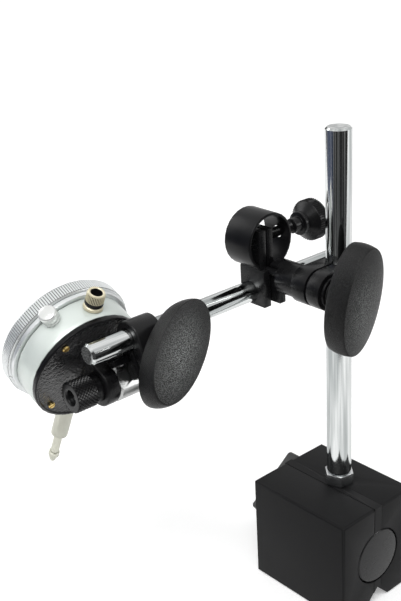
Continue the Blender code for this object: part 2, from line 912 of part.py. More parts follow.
def knob(name, frame, start):
    """A wing knob: a round hub, then a thick oval pad with a drafted wall and a crowned face, along +X."""
    count = knob_points

    def oval(long_share, wide_share, along):
        ring = []
        for i in range(count):
            angle = full_turn * i / count
            c, s = math.cos(angle), math.sin(angle)
            a = math.copysign(abs(c) ** (2 / pad_round_power), c) * pad_width / 2 * wide_share
            b = math.copysign(abs(s) ** (2 / pad_round_power), s) * pad_length / 2 * long_share
            ring.append((a, b, along))
        return ring

    hole = bolt_diameter / 2 + bore_clearance
    pad_from = start + hub_length
    rings = [
        [(0, 0, start + bolt_in_knob + gap)],
        plain_ring(hole, start + bolt_in_knob + gap, count),
        plain_ring(hole, start, count),
        plain_ring(hub_radius - washer_edge, start, count),
        plain_ring(hub_radius, start + washer_edge, count),
        plain_ring(hub_radius, pad_from, count),
        oval(knob_back_share, knob_back_share, pad_from),
        oval(1, 1, pad_from + clamp_edge),
        oval(1 - (1 - knob_back_share) / 2, knob_back_share, pad_from + pad_thickness * knob_wall_share),
        oval(knob_front_share, knob_front_share, pad_from + pad_thickness - pad_crown),
        oval(knob_face_share, knob_face_share, pad_from + pad_thickness - pad_crown / 3),
        oval(knob_face_share / 2, knob_face_share / 2, pad_from + pad_thickness),
        [(0, 0, pad_from + pad_thickness)],
    ]
    return skinned(name, rings, frame, black_plastic, "X")


def washer(name, frame, start):
    hole = bolt_diameter / 2 + bore_clearance
    end = start + washer_thickness
    return turned(
        name,
        [
            (hole, start),
            (washer_radius - washer_edge, start),
            (washer_radius, start + washer_edge),
            (washer_radius, end - washer_edge),
            (washer_radius - washer_edge, end),
            (hole, end),
        ],
        frame, black_steel, round_small, "X", True,
    )


washer("column_washer", bolt_frame, clamp_half_width + gap)
column_knob_start = clamp_half_width + 2 * gap + washer_thickness
knob("column_knob", turned_about(bolt_frame, -column_knob_turn, "X"), column_knob_start)
boss_face = -clamp_half_width - gap
rod(
    "cross_bolt", bolt_diameter / 2, boss_face - bolt_in_boss, column_knob_start + bolt_in_knob, bolt_frame,
    zinc, "X", chamfer=clamp_edge, segments=round_small,
)

# ---------- fine adjuster: fixed leaf on the boss, arm holder leaf, C ring, screw and spring
adjuster_body = rod(
    "adjuster_body", boss_radius, boss_face - boss_length, boss_face, bolt_frame, black_steel, "X",
    chamfer=clamp_edge,
)
fixed_near = -leaf_joint + leaf_gap / 2
fixed_far = fixed_near + leaf_thickness
shoulder = shoulder_height - clearance_hole
fixed_outline = [
    (-body_leaf_foot, -body_leaf_back),
    (-body_leaf_foot, -body_leaf_front),
    (shoulder, -body_leaf_front),
    (shoulder, -neck_front),
    (neck_top, -neck_front),
    (neck_top, -neck_back),
    (shoulder, -neck_back),
    (shoulder, -body_leaf_back),
]
fixed_leaf = prism("fixed_leaf", fixed_outline, fixed_near, fixed_far, bolt_frame, black_steel, "Y")
boss_notch = block(
    "boss_notch",
    (boss_face - boss_length - overshoot, -boss_radius - overshoot, -boss_radius - overshoot),
    (-body_leaf_front, fixed_near, boss_radius + overshoot),
    bolt_frame, black_steel,
)
cut(adjuster_body, boss_notch)
join(adjuster_body, fixed_leaf)
boss_bore = rod(
    "boss_bore", bolt_diameter / 2 + bore_clearance, boss_face - bolt_in_boss - gap, boss_face + overshoot,
    bolt_frame, black_steel, "X", segments=round_small,
)
arm_way = rod(
    "arm_way", arm_diameter / 2 + clearance_hole, -clamp_reach - leaf_joint - holder_thickness,
    clamp_reach, arm_frame, black_steel, "Y", segments=round_small,
)
pivot_notch = rod(
    "pivot_notch", pivot_radius + bore_clearance, -body_leaf_back - overshoot, -body_leaf_front,
    holder_frame, black_steel, "X", segments=round_tiny,
)
adjust_way = rod(
    "adjust_way", adjust_radius + bore_clearance, 0, ring_radius + leaf_thickness + leaf_joint, adjust_frame,
    black_steel, "Y", segments=round_small,
)
for tool in (boss_bore, arm_way, pivot_notch, adjust_way):
    cut(adjuster_body, tool)

holder_far = -leaf_gap / 2
holder_near = holder_far - holder_thickness
holder_shoulder = shoulder_height - pivot_rise - clearance_hole / 2
holder_outline = [
    (-holder_foot - pivot_rise, -arm_offset),
    (-holder_foot - pivot_rise, -holder_front),
    (holder_shoulder, -holder_front),
    (holder_shoulder, -neck_front),
    (neck_top - pivot_rise, -neck_front),
    (neck_top - pivot_rise, -neck_back),
    (holder_shoulder, -neck_back),
    (holder_shoulder, -holder_back),
    (-arm_drop - pivot_rise - slit_width, -holder_back),
    (-arm_drop - pivot_rise - slit_width, -arm_offset),
]
arm_holder = prism("arm_holder", holder_outline, holder_near, holder_far, holder_frame, black_steel, "Y")
holder_bore = rod(
    "holder_bore", arm_diameter / 2 + slide_clearance, -clamp_reach - leaf_joint - holder_thickness - overshoot,
    -clamp_reach - leaf_joint + overshoot, arm_frame, black_steel, "Y", segments=round_mid,
)
for tool in (holder_bore, pivot_notch):
    cut(arm_holder, tool)

pin_low = -holder_back + gap
rod(
    "pivot_pin", pivot_radius, pin_low, -body_leaf_front - gap, holder_frame, zinc, "X", chamfer=washer_edge,
    segments=round_small,
)

ring_frame = shifted(bolt_frame, -ring_centre_x, -ring_shift, ring_rise)
half_ring = ring_length / 2
adjuster_ring = turned(
    "adjuster_ring",
    [
        (ring_radius - ring_wall, -half_ring),
        (ring_radius - washer_edge, -half_ring),
        (ring_radius, -half_ring + washer_edge),
        (ring_radius, half_ring - washer_edge),
        (ring_radius - washer_edge, half_ring),
        (ring_radius - ring_wall, half_ring),
    ],
    ring_frame, black_paint, round_mid, "X", True,
)
mouth_middle = ring_shift - leaf_joint + (fixed_far - fixed_near - holder_thickness) / 2
ring_gap = block(
    "ring_gap",
    (-half_ring - overshoot, mouth_middle - ring_mouth / 2, -ring_radius - overshoot),
    (half_ring + overshoot, mouth_middle + ring_mouth / 2, -ring_radius / 2),
    ring_frame, black_paint,
)
ring_hole = rod(
    "ring_hole", adjust_radius + 2 * bore_clearance, ring_radius / 2, ring_radius + overshoot, ring_frame,
    black_paint, "Y", segments=round_small,
)
cut(adjuster_ring, ring_gap)
cut(adjuster_ring, ring_hole)

tip_at = holder_far + gap
wall_at = leaf_joint - ring_shift + ring_radius
shank_at = wall_at + adjust_free_thread
collar_at = shank_at + adjust_shank_length
cone_at = collar_at + adjust_collar_length
head_at = cone_at + adjust_cone_length
head_end = head_at + adjust_head_length
head_count = adjust_teeth * 2
adjust_rings = [
    [(0, 0, tip_at)],
    plain_ring(adjust_radius, tip_at, head_count),
    plain_ring(adjust_radius, shank_at, head_count),
    plain_ring(adjust_shank_radius, shank_at + washer_edge, head_count),
    plain_ring(adjust_shank_radius, collar_at, head_count),
    plain_ring(adjust_collar_radius, collar_at + washer_edge, head_count),
    plain_ring(adjust_collar_radius, cone_at, head_count),
    plain_ring(adjust_shank_radius, cone_at + washer_edge, head_count),
]
adjust_rings += grip_rings(adjust_head_radius, head_at, head_end, adjust_teeth, adjust_tooth, clamp_edge)
adjust_rings.append([(0, 0, head_end)])
skinned("adjuster_screw", adjust_rings, adjust_frame, black_steel, "Y")
spring_frame = adjust_frame @ Matrix.Rotation(math.radians(-90), 4, "X")
coil(
    "adjuster_spring", adjust_spring_radius, adjust_spring_wire, adjust_spring_turns,
    leaf_joint - ring_shift - ring_radius + ring_wall + gap, holder_near - gap, spring_frame, spring_steel,
)

# ---------- arm
arm_radius = arm_diameter / 2
rod("arm_rod", arm_radius, -arm_far, arm_tail, arm_frame, chrome, "Y", chamfer=arm_chamfer)

# ---------- end clamp, its bolt and wing knob
half_end = end_clamp_length / 2
corner_steps = 4
end_outline = (
    arc(0, 0, end_half_width, 0, 180, round_small)
    + arc(-end_half_width + end_corner, -end_foot + end_corner, end_corner, 180, 270, corner_steps)
    + arc(end_half_width - end_corner, -end_foot + end_corner, end_corner, 270, 360, corner_steps)
)
end_outline = [(b, a) for a, b in end_outline]
end_clamp = prism(
    "end_clamp", end_outline, -half_end, half_end, end_frame, black_steel, "Y", edge=clamp_edge,
    keep=lambda middle: abs(middle.y) > half_end - clamp_edge,
)
end_bore = rod(
    "end_bore", arm_radius + slide_clearance, -half_end - overshoot, half_end + overshoot, end_frame,
    black_steel, "Y",
)
end_slit_from = -end_half_width + end_back_cheek
end_slit = block(
    "end_slit",
    (end_slit_from, -half_end - overshoot, -end_foot - overshoot),
    (end_slit_from + slit_width, half_end + overshoot, 0),
    end_frame, black_steel,
)
end_bolt_hole = rod(
    "end_bolt_hole", bolt_diameter / 2 + bore_clearance, -end_half_width - overshoot,
    end_half_width + overshoot, end_bolt_frame, black_steel, "X", segments=round_small,
)
for tool in (end_bore, end_slit, end_bolt_hole):
    cut(end_clamp, tool)

washer("end_washer", end_bolt_frame, end_half_width + gap)
end_knob_start = end_half_width + 2 * gap + washer_thickness
knob("end_knob", turned_about(end_bolt_frame, -end_knob_turn, "X"), end_knob_start)

flat_at = -end_half_width - gap
bolt_low = -barrel_side - bolt_diameter / 2
rod(
    "end_bolt", bolt_diameter / 2, bolt_low, end_knob_start + bolt_in_knob, end_bolt_frame, zinc, "X",
    chamfer=clamp_edge, segments=round_small,
)
barrel_high = barrel_front + barrel_length
barrel = rod(
    "lug_barrel", barrel_radius, barrel_front, barrel_high, barrel_frame, zinc, "Y", chamfer=barrel_edge
)
barrel_flat = block(
    "barrel_flat",
    (barrel_side + flat_at, barrel_front - overshoot, -barrel_radius - overshoot),
    (barrel_radius + overshoot, barrel_high + overshoot, barrel_radius + overshoot),
    barrel_frame, black_steel,
)
barrel_bolt_hole = rod(
    "barrel_bolt_hole", bolt_diameter / 2 + bore_clearance, bolt_low - gap, -end_half_width + overshoot,
    end_bolt_frame, black_steel, "X", segments=round_small,
)
stud_radius = lug_stud_diameter / 2
stud_in = barrel_front + lug_stud_in_barrel
barrel_stud_hole = rod(
    "barrel_stud_hole", stud_radius + bore_clearance, barrel_front - overshoot, stud_in + gap, barrel_frame,
    black_steel, "Y", segments=round_small,
)
for tool in (barrel_flat, barrel_bolt_hole, barrel_stud_hole):
    cut(barrel, tool)
nut_from = barrel_front - lug_thickness - 3 * gap
rod(
    "lug_stud", stud_radius, nut_from - lug_stud_in_nut, stud_in, barrel_frame, zinc, "Y",
    chamfer=washer_edge, segments=round_small,
)

nut_count = lug_nut_knurls * 2
nut_low = nut_from - lug_nut_length
nut_rings = [
    plain_ring(stud_radius + bore_clearance, nut_low + clamp_edge, nut_count),
    plain_ring(stud_radius + bore_clearance + clamp_edge, nut_low, nut_count),
    plain_ring(lug_nut_radius - clamp_edge - knurl_depth, nut_low, nut_count),
]
knurl_low = nut_low + clamp_edge
knurl_high = nut_from - lug_nut_collar
for row in range(lug_nut_rows + 1):
    along = knurl_low + (knurl_high - knurl_low) * row / lug_nut_rows
    ring = []
    for i in range(nut_count):
        angle = full_turn * i / nut_count
        r = lug_nut_radius - (knurl_depth if (i + row) % 2 else 0)
        ring.append((r * math.cos(angle), r * math.sin(angle), along))
    nut_rings.append(ring)
nut_rings += [
    plain_ring(lug_nut_radius - 2 * knurl_depth, knurl_high + washer_edge, nut_count),
    plain_ring(lug_nut_radius - 2 * knurl_depth, nut_from, nut_count),
    plain_ring(stud_radius + bore_clearance, nut_from, nut_count),
]
skinned("lug_nut", nut_rings, barrel_frame, black_steel, "Y", True)

block(
    "grip_block",
    (-pad_block_side - pad_block_width, -half_end - gap - pad_block_length, -pad_block_drop - pad_block_height),
    (-pad_block_side, -half_end - gap, -pad_block_drop),
    end_frame, zinc, washer_edge,
)

# ---------- dial indicator housing
back_cover = turned(
    "back_cover",
    [
        (0, cover_recess),
        (cover_radius - cover_rim - cover_recess, cover_recess),
        (cover_radius - cover_rim, 0),
        (cover_radius - cover_recess, 0),
        (cover_radius, cover_recess),
        (cover_radius, cover_thickness),
        (0, cover_thickness),
    ],
    dial_frame, black_paint, round_fine,
)
lug_outline = (
    [(-lug_radius, cover_recess + weld)]
    + arc(0, -lug_reach, lug_radius, 180, 360, round_small)
    + [(lug_radius, cover_recess + weld)]
)
lug = prism(
    "lug", lug_outline, -lug_thickness / 2, lug_thickness / 2, square_frame, black_paint, "X", edge=clamp_edge,
    keep=lambda middle: middle.z < 0,
)
join(back_cover, lug)
lug_hole = rod(
    "lug_hole", stud_radius + bore_clearance, -lug_thickness / 2 - overshoot, lug_thickness / 2 + overshoot,
    lug_frame, black_paint, "X", segments=round_small,
)
cut(back_cover, lug_hole)
screw_spots = [
    (sx * cover_screw_x, sy * cover_screw_y) for sx, sy in ((1, 1), (-1, 1), (-1, -1), (1, -1))
]
for index, (spot_x, spot_y) in enumerate(screw_spots):
    spot = turned_about(shifted(dial_frame, spot_x, spot_y, cover_recess), 35 + 50 * index, "Z")
    way = rod(
        f"cover_way_{index}", cover_screw_shank + bore_clearance, -overshoot,
        cover_thickness + overshoot, spot, black_paint, segments=round_tiny,
    )
    cut(back_cover, way)
    screw = turned(
        f"cover_screw_{index + 1}",
        [
            (0, -gap - cover_screw_height),
            (cover_screw_radius * screw_top_share, -gap - cover_screw_height),
            (cover_screw_radius, -gap - cover_screw_height / 2),
            (cover_screw_radius, -gap),
            (cover_screw_shank, -gap),
            (cover_screw_shank, cover_screw_length),
            (0, cover_screw_length),
        ],
        spot, brass, round_tiny,
    )
    slot = block(
        f"cover_slot_{index}",
        (-cover_screw_radius - overshoot, -slot_width / 4, -overshoot - cover_screw_height),
        (cover_screw_radius + overshoot, slot_width / 4, -gap - cover_screw_height / 2),
        spot, brass,
    )
    cut(screw, slot)

case_from = cover_thickness + gap
case_fillet = case_radius - case_back_radius
case = turned(
    "dial_case",
    [
        (case_inner_radius, case_from),
        (case_back_radius, case_from),
        (case_radius, case_from + 4 * case_fillet),
        (case_radius, case_end - washer_edge),
        (case_radius - washer_edge, case_end),
        (neck_radius, case_end),
        (neck_radius, neck_end),
        (case_inner_radius, neck_end),
        (case_inner_radius, plate_seat),
        (plate_flange_radius, plate_seat),
        (plate_flange_radius, plate_seat - plate_flange),
        (case_inner_radius, plate_seat - 2 * plate_flange),
    ],
    dial_frame, satin, round_fine, "Z", True,
)
for index, (spot_x, spot_y) in enumerate(screw_spots):
    spot = shifted(dial_frame, spot_x, spot_y, 0)
    post = rod(
        f"case_post_{index}", post_radius, cover_thickness + gap, post_end, spot, satin,
        segments=round_tiny,
    )
    tap = rod(
        f"case_tap_{index}", cover_screw_shank + bore_clearance, 0, cover_screw_length + cover_recess + gap,
        spot, satin, segments=round_tiny,
    )
    join(case, post)
    cut(case, tap)
stem_radius = stem_diameter / 2
stem_way = rod(
    "stem_way", stem_radius + bore_clearance, -case_radius - overshoot, case_radius + overshoot, spindle_frame,
    satin, "Y", segments=round_small,
)
cut(case, stem_way)

spindle_radius = spindle_diameter / 2
bush_bore = spindle_radius + stem_bore_clearance
flange_at = case_radius + gap
turned(
    "stem",
    [
        (bush_bore, -stem_end),
        (stem_radius - clamp_edge, -stem_end),
        (stem_radius, -stem_end + clamp_edge),
        (stem_radius, -flange_at - stem_flange),
        (stem_flange_radius, -flange_at - stem_flange),
        (stem_flange_radius, -flange_at),
        (stem_radius, -flange_at),
        (stem_radius, -stem_root),
        (bush_bore, -stem_root),
    ],
    spindle_frame, nickel, round_small, "Y", True,
)
turned(
    "cap_bush",
    [
        (bush_bore, stem_root),
        (stem_radius, stem_root),
        (stem_radius, flange_at),
        (stem_flange_radius, flange_at),
        (stem_flange_radius - washer_edge, flange_at + stem_flange / 2),
        (stem_radius, boss_end - washer_edge),
        (stem_radius - washer_edge, boss_end),
        (bush_bore, boss_end),
    ],
    spindle_frame, nickel, round_small, "Y", True,
)

# ---------- spindle with its rack
spindle = turned(
    "spindle",
    [
        (0, -spindle_end),
        (spindle_radius, -spindle_end),
        (spindle_radius, spindle_top),
        (0, spindle_top),
    ],
    spindle_frame, zinc, round_small, "Y",
)
pinion_pitch_radius = pinion_teeth * rack_pitch / full_turn
rack_line = rack_axis - pinion_pitch_radius
gear_radius = gear_teeth * gear_module / 2
centre_radius = centre_teeth * gear_module / 2
centre_distance = gear_radius + centre_radius
pinion_rise = math.sqrt(centre_distance**2 - rack_axis**2)
rack_low = pinion_rise - rack_travel - rack_margin
rack_high = pinion_rise + rack_margin
counter_rise = -math.sqrt(centre_distance**2 - counter_axis**2)
groove_phase = pinion_rise
first = math.ceil((rack_low - groove_phase) / rack_pitch)
last = math.floor((rack_high - groove_phase) / rack_pitch)
rack_tip = rack_line + tooth_addendum
rack_root = rack_line - tooth_dedendum
rack_outline = [(groove_phase + (first - 0.5) * rack_pitch, -spindle_diameter)]
rack_outline.append((groove_phase + (first - 0.5) * rack_pitch, -rack_tip))
for step_index in range(first, last + 1):
    middle = groove_phase + step_index * rack_pitch
    half_mouth = rack_pitch * (1 - tooth_tip_share) / 2
    half_floor = rack_pitch * (1 - tooth_root_share) / 2
    rack_outline += [
        (middle - half_mouth, -rack_tip),
        (middle - half_floor, -rack_root),
        (middle + half_floor, -rack_root),
        (middle + half_mouth, -rack_tip),
    ]
rack_outline.append((groove_phase + (last + 0.5) * rack_pitch, -rack_tip))
rack_outline.append((groove_phase + (last + 0.5) * rack_pitch, -spindle_diameter))
rack_cut = prism(
    "rack_cut", [(b, a) for a, b in rack_outline], -spindle_radius - overshoot, spindle_radius + overshoot,
    spindle_frame, zinc, smooth=False,
)
cut(spindle, rack_cut)
contact_low = -spindle_end - gap
turned(
    "contact_point",
    [
        (0, contact_low - contact_length),
        (contact_radius_end / 2, contact_low - contact_length + contact_radius_end * 0.13),
        (contact_radius_end, contact_low - contact_length + contact_radius_end),
        (contact_radius_top, contact_low - contact_collar - clamp_edge),
        (contact_collar_radius, contact_low - contact_collar),
        (contact_collar_radius, contact_low - washer_edge),
        (contact_collar_radius - washer_edge, contact_low),
        (0, contact_low),
    ],
    spindle_frame, nickel, round_small, "Y",
)
cap_low = boss_end + gap
cap_count = cap_teeth * 2
cap_rings = [
    plain_ring(spindle_radius + bore_clearance, cap_low, cap_count),
    plain_ring(cap_radius - washer_edge, cap_low, cap_count),
    plain_ring(cap_radius, cap_low + washer_edge, cap_count),
    plain_ring(cap_radius, cap_low + cap_ring, cap_count),
]
cap_rings += grip_rings(
    cap_radius, cap_low + cap_ring, cap_low + cap_height - clamp_edge, cap_teeth, cap_tooth, washer_edge
)
cap_rings += [
    plain_ring(cap_radius - clamp_edge, cap_low + cap_height, cap_count),
    plain_ring(cap_bore, cap_low + cap_height, cap_count),
    plain_ring(cap_bore, spindle_top + gap + clamp_edge, cap_count),
    plain_ring(spindle_radius + bore_clearance, spindle_top + gap, cap_count),
]
skinned("spindle_cap", cap_rings, spindle_frame, nickel, "Y", True)

guide_pin_frame = shifted(spindle_frame, 0, guide_pin_rise, 0)
pin_hole = rod(
    "pin_hole", guide_pin_radius + bore_clearance, 0, spindle_diameter, guide_pin_frame, zinc, "X",
    segments=round_tiny,
)
cut(spindle, pin_hole)
rod(
    "guide_pin", guide_pin_radius, gap, guide_pin_reach, guide_pin_frame, spring_steel, "X",
    segments=round_tiny,
)

# ---------- movement
pillar_spots = [(a * case_radius, b * case_radius) for a, b in pillar_shares]
rear_plate_to = rear_plate_from + rear_plate_thickness
rear_plate = rod(
    "rear_plate", rear_plate_radius, rear_plate_from, rear_plate_to, dial_frame, brass, segments=round_mid
)
front_plate_from = plate_seat + gap
front_plate_to = front_plate_from + plate_thickness
front_plate = rod(
    "front_plate", front_plate_radius, front_plate_from, front_plate_to, dial_frame, brass,
    segments=round_mid,
)
bush = rod(
    "centre_bush", bush_radius, front_plate_to - weld, bush_end, dial_frame, brass, segments=round_small
)
join(front_plate, bush)
for index, (spot_x, spot_y) in enumerate(pillar_spots):
    pillar = rod(
        f"pillar_{index}", pillar_radius, rear_plate_to + gap, front_plate_from + weld,
        shifted(dial_frame, spot_x, spot_y, 0), brass, segments=round_tiny,
    )
    join(front_plate, pillar)
post_pin = rod(
    "post_pin", post_pin_radius, rear_plate_to - weld, stem_depth + return_spring_radius,
    shifted(dial_frame, return_spring_x, -return_spring_low - return_spring_radius, 0), brass,
    segments=round_tiny,
)
join(rear_plate, post_pin)
arbor_spots = {
    "rack_arbor": (-rack_axis, pinion_rise),
    "counter_arbor": (counter_axis, counter_rise),
    "centre_arbor": (0, 0),
}
for arbor_name, (spot_x, spot_y) in arbor_spots.items():
    hole_from = rear_plate_from - overshoot if arbor_name != "centre_arbor" else front_plate_from - overshoot
    bearing = rod(
        f"{arbor_name}_bearing", arbor_radius + bore_clearance, hole_from, bush_end + overshoot,
        shifted(dial_frame, spot_x, spot_y, 0), brass, segments=round_tiny,
    )
    cut(front_plate, bearing)
    if arbor_name != "centre_arbor":
        cut(rear_plate, bearing)

rack_arbor_frame = shifted(dial_frame, -rack_axis, pinion_rise, 0)
counter_frame = shifted(dial_frame, counter_axis, counter_rise, 0)
towards_centre = math.atan2(-pinion_rise, rack_axis)
from_centre = towards_centre + half_turn
centre_step = full_turn / centre_teeth
centre_phase = from_centre + centre_step / 2
to_counter = math.atan2(counter_rise, counter_axis)
gap_offset = (to_counter - centre_phase - centre_step / 2) % centre_step
if gap_offset > centre_step / 2:
    gap_offset -= centre_step
counter_phase = to_counter + half_turn + gap_offset * centre_teeth / gear_teeth

rack_arbor = rod(
    "rack_arbor", arbor_radius, rear_plate_from, front_plate_to, rack_arbor_frame, spring_steel,
    segments=round_tiny,
)
rack_pinion = prism(
    "rack_pinion", gear_outline(pinion_teeth, pinion_pitch_radius, 0), pinion_from, pinion_to,
    rack_arbor_frame, brass, smooth=False,
)
drive_gear = prism(
    "drive_gear", wheel_outline(gear_teeth, gear_radius, towards_centre), gear_from, gear_to,
    rack_arbor_frame, brass, smooth=False,
)
join(rack_arbor, rack_pinion)
join(rack_arbor, drive_gear)
counter_end = counter_from + pointer_thickness
counter_arbor = rod(
    "counter_arbor", arbor_radius, rear_plate_from, counter_from - gap, counter_frame, spring_steel,
    segments=round_tiny,
)
counter_gear = prism(
    "counter_gear", wheel_outline(gear_teeth, gear_radius, counter_phase), gear_from, gear_to, counter_frame,
    brass, smooth=False,
)
join(counter_arbor, counter_gear)
centre_arbor = rod(
    "centre_arbor", arbor_radius, centre_pinion_from, pointer_from - gap, dial_frame, spring_steel,
    segments=round_tiny,
)
centre_pinion = prism(
    "centre_pinion", gear_outline(centre_teeth, centre_radius, centre_phase), centre_pinion_from,
    centre_pinion_to, dial_frame, brass, smooth=False,
)
join(centre_arbor, centre_pinion)

guide_rail = block(
    "guide_rail",
    (guide_from_x, guide_from_y, rear_plate_to + gap),
    (guide_to_x, guide_to_y, guide_to_z),
    dial_frame, brass,
)
slot_half = guide_pin_radius + bore_clearance
rail_slot = block(
    "rail_slot",
    (guide_from_x - overshoot, guide_from_y + guide_slot_margin, stem_depth - slot_half),
    (guide_to_x + overshoot, guide_to_y - guide_slot_margin, stem_depth + slot_half),
    dial_frame, brass,
)
cut(guide_rail, rail_slot)
return_frame = shifted(spindle_frame, return_spring_x, 0, 0) @ Matrix.Rotation(math.radians(-90), 4, "X")
coil(
    "return_spring", return_spring_radius, return_spring_wire, return_spring_turns, -return_spring_low + gap,
    guide_pin_rise - guide_pin_radius - gap, return_frame, spring_steel,
)

# ---------- bezel, crystal, scale, pointers
bezel_count = bezel_serrations * 2
bezel_rings = [
    plain_ring(neck_radius + gap, bezel_from, bezel_count),
    plain_ring(bezel_lip_radius, bezel_from, bezel_count),
    plain_ring(bezel_lip_radius, bezel_lip_end, bezel_count),
]
bezel_rings += grip_rings(
    bezel_radius, bezel_grip_from, bezel_grip_to, bezel_serrations, serration_depth, washer_edge
)
bezel_rings += [
    plain_ring(bezel_radius - clamp_edge, bezel_end, bezel_count),
    plain_ring(bezel_mouth_radius, bezel_end, bezel_count),
    plain_ring(bezel_mouth_radius, crystal_seat + crystal_thickness + 2 * gap, bezel_count),
    plain_ring(crystal_seat_radius, crystal_seat + crystal_thickness + 2 * gap, bezel_count),
    plain_ring(crystal_seat_radius, crystal_seat, bezel_count),
    plain_ring(bezel_seat_radius, crystal_seat, bezel_count),
    plain_ring(bezel_seat_radius, bezel_ledge_to, bezel_count),
    plain_ring(bezel_ledge_radius, bezel_ledge_to, bezel_count),
    plain_ring(bezel_ledge_radius, bezel_ledge_from, bezel_count),
    plain_ring(neck_radius + gap, bezel_ledge_from, bezel_count),
]
skinned("bezel", bezel_rings, dial_frame, zinc, "Z", True)
crystal_low = crystal_seat + gap
crystal_radius = crystal_seat_radius - gap
dome_from = bezel_mouth_radius - gap
crystal_profile = [(0, crystal_low), (crystal_radius, crystal_low), (crystal_radius, crystal_low + crystal_thickness)]
crystal_profile.append((dome_from, crystal_low + crystal_thickness))
dome_steps = 4
for i in range(1, dome_steps):
    share = 1 - i / dome_steps
    crystal_profile.append(
        (dome_from * share, crystal_low + crystal_thickness + crystal_dome * (1 - share**2))
    )
crystal_profile.append((0, crystal_low + crystal_thickness + crystal_dome))
turned("crystal", crystal_profile, dial_frame, glass, round_mid)
scale_from = bezel_ledge_to + gap
turned(
    "scale_ring",
    [
        (scale_inner, scale_from),
        (scale_outer, scale_from),
        (scale_outer, scale_from + scale_thickness),
        (scale_inner, scale_from + scale_thickness),
    ],
    dial_frame, white_card, round_fine, "Z", True,
)
inner_dial = rod(
    "inner_dial", inner_dial_radius, inner_dial_from, inner_dial_from + scale_thickness, dial_frame,
    white_card, segments=round_mid,
)
for index in range(3):
    foot_frame = turned_about(dial_frame, 30 + 120 * index, "Z")
    foot = rod(
        f"dial_foot_{index}", foot_radius, front_plate_to + gap, inner_dial_from + scale_thickness / 2,
        shifted(foot_frame, foot_circle, 0, 0), white_card, segments=round_tiny,
    )
    join(inner_dial, foot)
for arbor_name, (spot_x, spot_y) in (("centre", (0, 0)), ("counter", (counter_axis, counter_rise))):
    opening = rod(
        f"{arbor_name}_opening", arbor_radius + 2 * bore_clearance, inner_dial_from - overshoot,
        inner_dial_from + scale_thickness + overshoot, shifted(dial_frame, spot_x, spot_y, 0), white_card,
        segments=round_tiny,
    )
    cut(inner_dial, opening)


def needle(name, frame, start, length, tail, hub, half_width_needle):
    outline = (
        [(0, length), (-half_width_needle * needle_tip_share, length - half_width_needle)]
        + [(-half_width_needle, hub)]
        + arc(0, 0, hub, 120, 240, 8)
        + [(-half_width_needle, -tail), (half_width_needle, -tail)]
        + arc(0, 0, hub, 300, 420, 8)
        + [(half_width_needle, hub)]
        + [(half_width_needle * needle_tip_share, length - half_width_needle)]
    )
    return prism(name, outline, start, start + pointer_thickness, frame, pointer_black, smooth=False)


needle("main_pointer", dial_frame, pointer_from, pointer_length, pointer_tail, pointer_hub, pointer_half_width)
needle(
    "counter_pointer", counter_frame, counter_from, counter_length, counter_tail, counter_hub,
    counter_half_width,
)

# ---------- bezel lock
lock_angle = bezel_screw_angle
lock_frame = shifted(turned_about(dial_frame, lock_angle, "Z"), 0, 0, bezel_screw_depth)
lock_top = bezel_screw_seat + bezel_screw_height
turned(
    "bezel_screw",
    [
        (0, case_inner_radius + gap),
        (bezel_screw_shank, case_inner_radius + gap),
        (bezel_screw_shank, bezel_screw_seat),
        (bezel_screw_radius - washer_edge, bezel_screw_seat),
        (bezel_screw_radius, bezel_screw_seat + washer_edge),
        (bezel_screw_radius, lock_top - clamp_edge),
        (bezel_screw_radius - clamp_edge, lock_top - washer_edge / 2),
        (0, lock_top),
    ],
    lock_frame, chrome, round_small, "X",
)
lock_way = rod(
    "lock_way", bezel_screw_shank + bore_clearance, case_inner_radius - overshoot, case_radius + overshoot,
    lock_frame, satin, "X", segments=round_tiny,
)
cut(case, lock_way)
clip_from = case_radius + gap
clip_to = bezel_screw_seat - gap
clip = rod(
    "bezel_clip", bezel_clip_radius, clip_from, clip_to, lock_frame, chrome, "X", segments=round_small
)
clip_flat = block(
    "clip_flat",
    (clip_from - overshoot, -bezel_clip_radius - overshoot, bezel_from - bezel_screw_depth - gap),
    (clip_to + overshoot, bezel_clip_radius + overshoot, bezel_clip_radius + overshoot),
    lock_frame, chrome,
)
clip_way = rod(
    "clip_way", bezel_screw_shank + bore_clearance, case_radius - overshoot, bezel_screw_seat + overshoot,
    lock_frame, chrome, "X", segments=round_tiny,
)
for tool in (clip_flat, clip_way):
    cut(clip, tool)
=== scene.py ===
import json
import math

import bmesh
import bpy
from mathutils import Matrix, Vector


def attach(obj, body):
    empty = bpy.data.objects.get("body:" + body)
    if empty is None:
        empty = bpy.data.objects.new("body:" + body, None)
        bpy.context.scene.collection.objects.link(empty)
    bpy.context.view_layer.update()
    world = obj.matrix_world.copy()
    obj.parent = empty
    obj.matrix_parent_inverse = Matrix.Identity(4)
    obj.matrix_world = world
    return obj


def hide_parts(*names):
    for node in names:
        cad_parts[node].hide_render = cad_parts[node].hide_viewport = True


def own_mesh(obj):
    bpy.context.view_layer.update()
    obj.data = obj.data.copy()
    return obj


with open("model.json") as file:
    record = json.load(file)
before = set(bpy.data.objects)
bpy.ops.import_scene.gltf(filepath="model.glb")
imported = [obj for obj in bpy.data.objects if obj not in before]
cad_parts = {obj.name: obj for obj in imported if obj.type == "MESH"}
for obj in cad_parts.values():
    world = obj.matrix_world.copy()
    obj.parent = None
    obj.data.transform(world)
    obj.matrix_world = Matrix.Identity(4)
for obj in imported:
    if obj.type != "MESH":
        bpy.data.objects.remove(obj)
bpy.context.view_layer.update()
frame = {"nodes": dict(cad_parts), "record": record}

nodes = frame["nodes"]
bodyOf = {node: body for body, held in frame["record"]["behaviour"]["bodies"].items() for node in held}
fullTurn = 2 * math.pi

